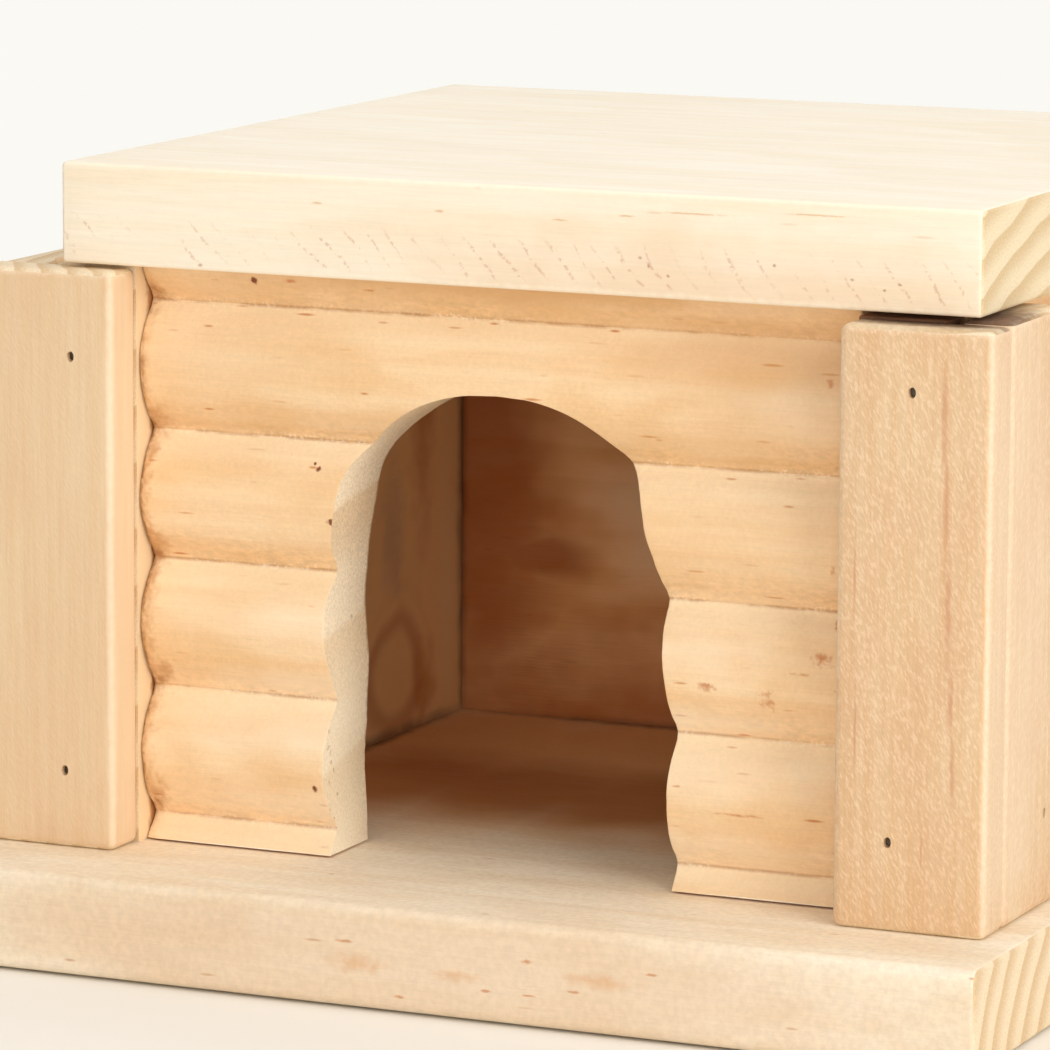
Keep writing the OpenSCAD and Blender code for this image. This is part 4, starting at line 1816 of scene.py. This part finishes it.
@dataclass
class Roof:
    """The loose roof board and the two cleats that keep it in place.

    Attributes:
        edge_r: rounding of the board's and the cleats' long edges.
        end_r: rounding of the board's ends.
        cleat_end_r: rounding of the cleats' ends.
        hole_depth: depth of the brad holes below the cleats.
    """

    edge_r: float = 0.8
    end_r: float = 0.8
    cleat_end_r: float = 0.6
    hole_depth: float = 2.0

    def build(self) -> list[tuple[bpy.types.Object, str, str]]:
        """Build the roof's boards.

        Returns:
            Each board with its node and slot.
        """
        low, high = box_mm("roof_board")
        wood = Pine("pine, planed roof board", pale="FFFAF1", body="FBEFDA", ring="F1DCB8", cloud="F6E5CA",
                    cloud_share=0.2, ring_mm=12.0, ring_share=0.20, lean=0.16, pith=(60.0, -95.0),
                    streak_share=0.36, fibre_share=0.03, bump=0.25,
                    features=(ResinCanals(strength=0.3, cell=(22.0, 4.0)), Nap(contrast=0.012)))
        end = EndGrainPine("pine end grain, sawn", pale="EFDDBC", dark="D6B98C", ring_mm=6.0)
        shift = (4.0, 6.0, 9.0)
        board = Board("roof_board", Grain.ALONG_X, self.edge_r, self.end_r, 23.0,
                      [wood.material(Grain.ALONG_X, shift, self._marks(low, high)),
                       end.material(Grain.ALONG_X, shift)])
        pieces = [(board.build(), "roof_board", "pine_roof")]
        rough = Pine("pine, sawn cleat", features=(RaisedFibre(Grain.ALONG_Z, 0.3),))
        for number, node in enumerate(("roof_cleat_left", "roof_cleat_right")):
            shift = (number * 40.0, 3.0, 5.0)
            piece = Board(node, Grain.ALONG_Y, self.edge_r, self.cleat_end_r, 24.0 + number,
                          [rough.material(Grain.ALONG_Y, shift), end.material(Grain.ALONG_Y, shift)]).build()
            cut_round_holes(piece, holes_below("cleat_brads", *box_mm(node), self.hole_depth))
            pieces.append((piece, node, "pine_cleat"))
        return pieces

    @staticmethod
    def _marks(low: Vector, high: Vector) -> list[Feature]:
        """List the roof board's own marks.

        Args:
            low: lowest corner of the board.
            high: its highest corner.

        Returns:
            A tint all over its front and a deeper one low down, saw marks, specks, pitch dashes and the
            worn arrises.
        """
        specks = ((-53.3, 123.6, 0.6, 0.4), (30.3, 129.4, 0.5, 0.4), (31.8, 128.1, 0.4, 0.5),
                  (35.5, 126.6, 0.4, 0.4), (54.8, 129.4, 0.4, 0.4), (68.8, 127.8, 0.5, 0.3),
                  (74.7, 126.3, 0.4, 0.4), (77.4, 127.4, 0.6, 0.3))
        dashes = ((-30.6, 135.7, 1.3, 0.3), (-7.3, 135.5, 1.4, 0.3), (15.4, 135.1, 2.2, 0.25),
                  (27.8, 136.4, 2.0, 0.25), (40.0, 137.4, 7.0, 0.22), (62.0, 138.3, 8.0, 0.22))
        middle = (low.z + high.z) / 2
        whole = Spots("F4DDB8", 0.22, (((5.6, low.y, middle), (130.0, 3.0, 16.0)),), 0.2, 9.0, 0.8)
        low_band = Spots("E6BC90", 0.46, (((44.0, low.y, low.z), (100.0, 3.0, 17.0)),), 0.6, 9.0, 0.0)
        spots = [Spots(colour, strength, on_front(low.y, 3.0, marks), 1.2, 1.0, 0.2)
                 for colour, strength, marks in (("9A5C2E", 0.6, specks), ("DDB17E", 0.7, dashes))]
        return [whole, low_band, SawKisses(low.z + 1.0, low.z + 10.0), *spots,
                WornArris(low, high, strength=0.6)]


@dataclass
class Brads:
    """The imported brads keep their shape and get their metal.

    Attributes:
        nodes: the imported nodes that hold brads.
    """

    nodes: tuple[str, ...] = ("front_batten_brads", "side_batten_brads", "back_batten_brads", "wall_brads",
                              "base_brads", "cleat_brads")

    def dress(self) -> None:
        """Put dulled steel on every brad."""
        steel = DulledSteel().material()
        for node in self.nodes:
            obj = frame["nodes"][node]
            obj.data.materials.clear()
            obj.data.materials.append(steel)
            LOG.info("%s: %s", node, steel.name)


# ---------------------------------------------------------------- studio


@dataclass(frozen=True)
class PhotoCamera:
    """The viewpoint, as a real camera would be set up: a long lens, a little above the roof.

    Attributes:
        place: of the lens, in the row frame, in millimetres.
        yaw: degrees turned from +Y towards -X.
        pitch: degrees tilted down.
        roll: degrees turned about the view.
        lens: focal length, in millimetres.
        sensor: width of the sensor, in millimetres.
    """

    place: tuple[float, float, float] = (437.1, -1040.6, 255.9)
    yaw: float = 23.903
    pitch: float = 9.354
    roll: float = 0.3166
    lens: float = 212.95
    sensor: float = 36.0

    def build(self) -> None:
        """Create the camera and make it the scene's own."""
        data = bpy.data.cameras.new("photo_camera")
        data.lens = self.lens
        data.sensor_width = self.sensor
        data.clip_start = 0.05
        data.clip_end = 30.0
        camera = bpy.data.objects.new("photo_camera", data)
        yaw, pitch, roll = (math.radians(angle) for angle in (self.yaw, self.pitch, self.roll))
        forward = Vector((-math.sin(yaw) * math.cos(pitch), math.cos(yaw) * math.cos(pitch),
                          -math.sin(pitch)))
        level = Vector((math.cos(yaw), math.sin(yaw), 0.0))
        above = level.cross(forward)
        right = level * math.cos(roll) + above * math.sin(roll)
        up = above * math.cos(roll) - level * math.sin(roll)
        turn = Matrix((right, up, -forward)).transposed()
        camera.matrix_world = Matrix.Translation(Vector(self.place) * MM) @ turn.to_4x4()
        bpy.context.scene.collection.objects.link(camera)
        bpy.context.scene.camera = camera


@dataclass(frozen=True)
class Softbox:
    """A square soft light aimed at the house.

    Attributes:
        name: of the light.
        place_m: its place, in metres.
        side_m: length of its sides.
        watts: its power.
        colour: its colour.
    """

    name: str
    place_m: tuple[float, float, float]
    side_m: float
    watts: float
    colour: str = "FFFFFF"

    def build(self, target_m: Vector) -> None:
        """Create the light.

        Args:
            target_m: the point that it is aimed at.
        """
        data = bpy.data.lights.new(self.name, "AREA")
        data.shape = "SQUARE"
        data.size = self.side_m
        data.energy = self.watts
        data.color = hex_to_linear(self.colour)[:3]
        light = bpy.data.objects.new(self.name, data)
        light.location = self.place_m
        light.rotation_euler = (target_m - light.location).to_track_quat("-Z", "Y").to_euler()
        bpy.context.scene.collection.objects.link(light)


@dataclass
class Studio:
    """Pale floor, pale surroundings and soft lights.

    Attributes:
        floor_colour: of the paper on the floor.
        backdrop_colour: what the camera sees far away.
        fade_m: distances from the house where the floor starts to look like the backdrop, and does.
        floor_half_m: half the floor's width.
        floor_drop_m: how far the floor lies under the house, so that the two don't flicker.
        room_colour: of the even light from all round.
        room_strength: of that light.
        lights: the softboxes.
        target_m: the point that they are aimed at.
    """

    floor_colour: str = "F4F0E8"
    backdrop_colour: str = "FBF9F3"
    fade_m: tuple[float, float] = (0.16, 0.62)
    floor_half_m: float = 6.0
    floor_drop_m: float = 0.0004
    room_colour: str = "FFFFFF"
    room_strength: float = 0.45
    lights: tuple[Softbox, ...] = (
        Softbox("key", (1.3, -0.75, 0.80), 1.0, 13.5, "FFFAF3"),
        Softbox("top", (0.0, 0.1, 1.6), 1.2, 8.6),
        Softbox("front", (0.35, -1.55, 0.16), 1.1, 8.2, "FFFAF3"))
    target_m: tuple[float, float, float] = (0.0, 0.0, 0.07)

    def build(self) -> None:
        """Create floor, world and lights."""
        self._floor()
        self._world()
        for light in self.lights:
            light.build(Vector(self.target_m))

    def _floor(self) -> None:
        """Lay a wide plain floor."""
        half = self.floor_half_m
        bm = bmesh.new()
        corners = ((-half, -half), (half, -half), (half, half), (-half, half))
        bm.faces.new([bm.verts.new((x, y, -self.floor_drop_m)) for x, y in corners])
        mesh = bpy.data.meshes.new("studio_floor")
        bm.to_mesh(mesh)
        bm.free()
        mesh.materials.append(self._paper())
        floor = bpy.data.objects.new("studio_floor", mesh)
        bpy.context.scene.collection.objects.link(floor)

    @staticmethod
    def _seen(tree: bpy.types.NodeTree) -> bpy.types.Node:
        """Tell the rays that look at the background from those that light the house.

        Args:
            tree: the node tree that asks.

        Returns:
            1 for rays from the camera, a reflection or through glass, and 0 for others.
        """
        path = add(tree, "LightPath").outputs
        direct = add(tree, "Math", (path["Is Camera Ray"], path["Is Glossy Ray"]), operation="MAXIMUM")
        return add(tree, "Math", (direct, path["Is Transmission Ray"]), operation="MAXIMUM")

    def _paper(self) -> bpy.types.Material:
        """Make the matt paper, which keeps the house's shadow and fades to the backdrop further out.

        Returns:
            The material.
        """
        mat = blank_material("plain paper floor")
        tree = mat.node_tree
        paper = add(tree, "BsdfPrincipled", {"Base Color": hex_to_linear(self.floor_colour), "Roughness": 0.9,
                                             "Specular IOR Level": 0.2})
        white = add(tree, "Emission", {"Color": hex_to_linear(self.backdrop_colour), "Strength": 1.0})
        place = add(tree, "TexCoord").outputs["Object"]
        away = add(tree, "VectorMath", (place,), **FAR)
        faded = add(tree, "MapRange", (away, *self.fade_m), **SOFT)
        cover = add(tree, "Math", (faded, self._seen(tree)), **TIMES)
        add(tree, "OutputMaterial", (add(tree, "MixShader", (cover, paper, white)),))
        return mat

    def _world(self) -> None:
        """Give even light from all round, and a near white backdrop to look at."""
        world = bpy.data.worlds.new("soft room")
        world.use_nodes = True
        bpy.context.scene.world = world
        tree = world.node_tree
        tree.nodes.clear()
        room = add(tree, "Background", {"Color": hex_to_linear(self.room_colour),
                                        "Strength": self.room_strength})
        backdrop = add(tree, "Background", {"Color": hex_to_linear(self.backdrop_colour), "Strength": 1.0})
        add(tree, "OutputWorld", (add(tree, "MixShader", (self._seen(tree), room, backdrop)),))


# ---------------------------------------------------------------- making it all


def main() -> None:
    """Build the camera, the studio and the house, and report each piece."""
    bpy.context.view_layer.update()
    bpy.context.scene.view_settings.view_transform = "Standard"
    PhotoCamera().build()
    Studio().build()
    owners = {node: body for body, nodes in frame["record"]["behaviour"]["bodies"].items() for node in nodes}
    for part in (Base(), Walls(), Battens(), Roof()):
        for piece, node, slot in part.build():
            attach(piece, owners[node])
            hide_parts(node)
            LOG.info("%s: %d faces on %s", piece.name, len(piece.data.polygons), owners[node])
    Brads().dress()


if __name__ == "__main__":
    logging.basicConfig(level=logging.INFO, format="%(name)s: %(message)s")
    main()
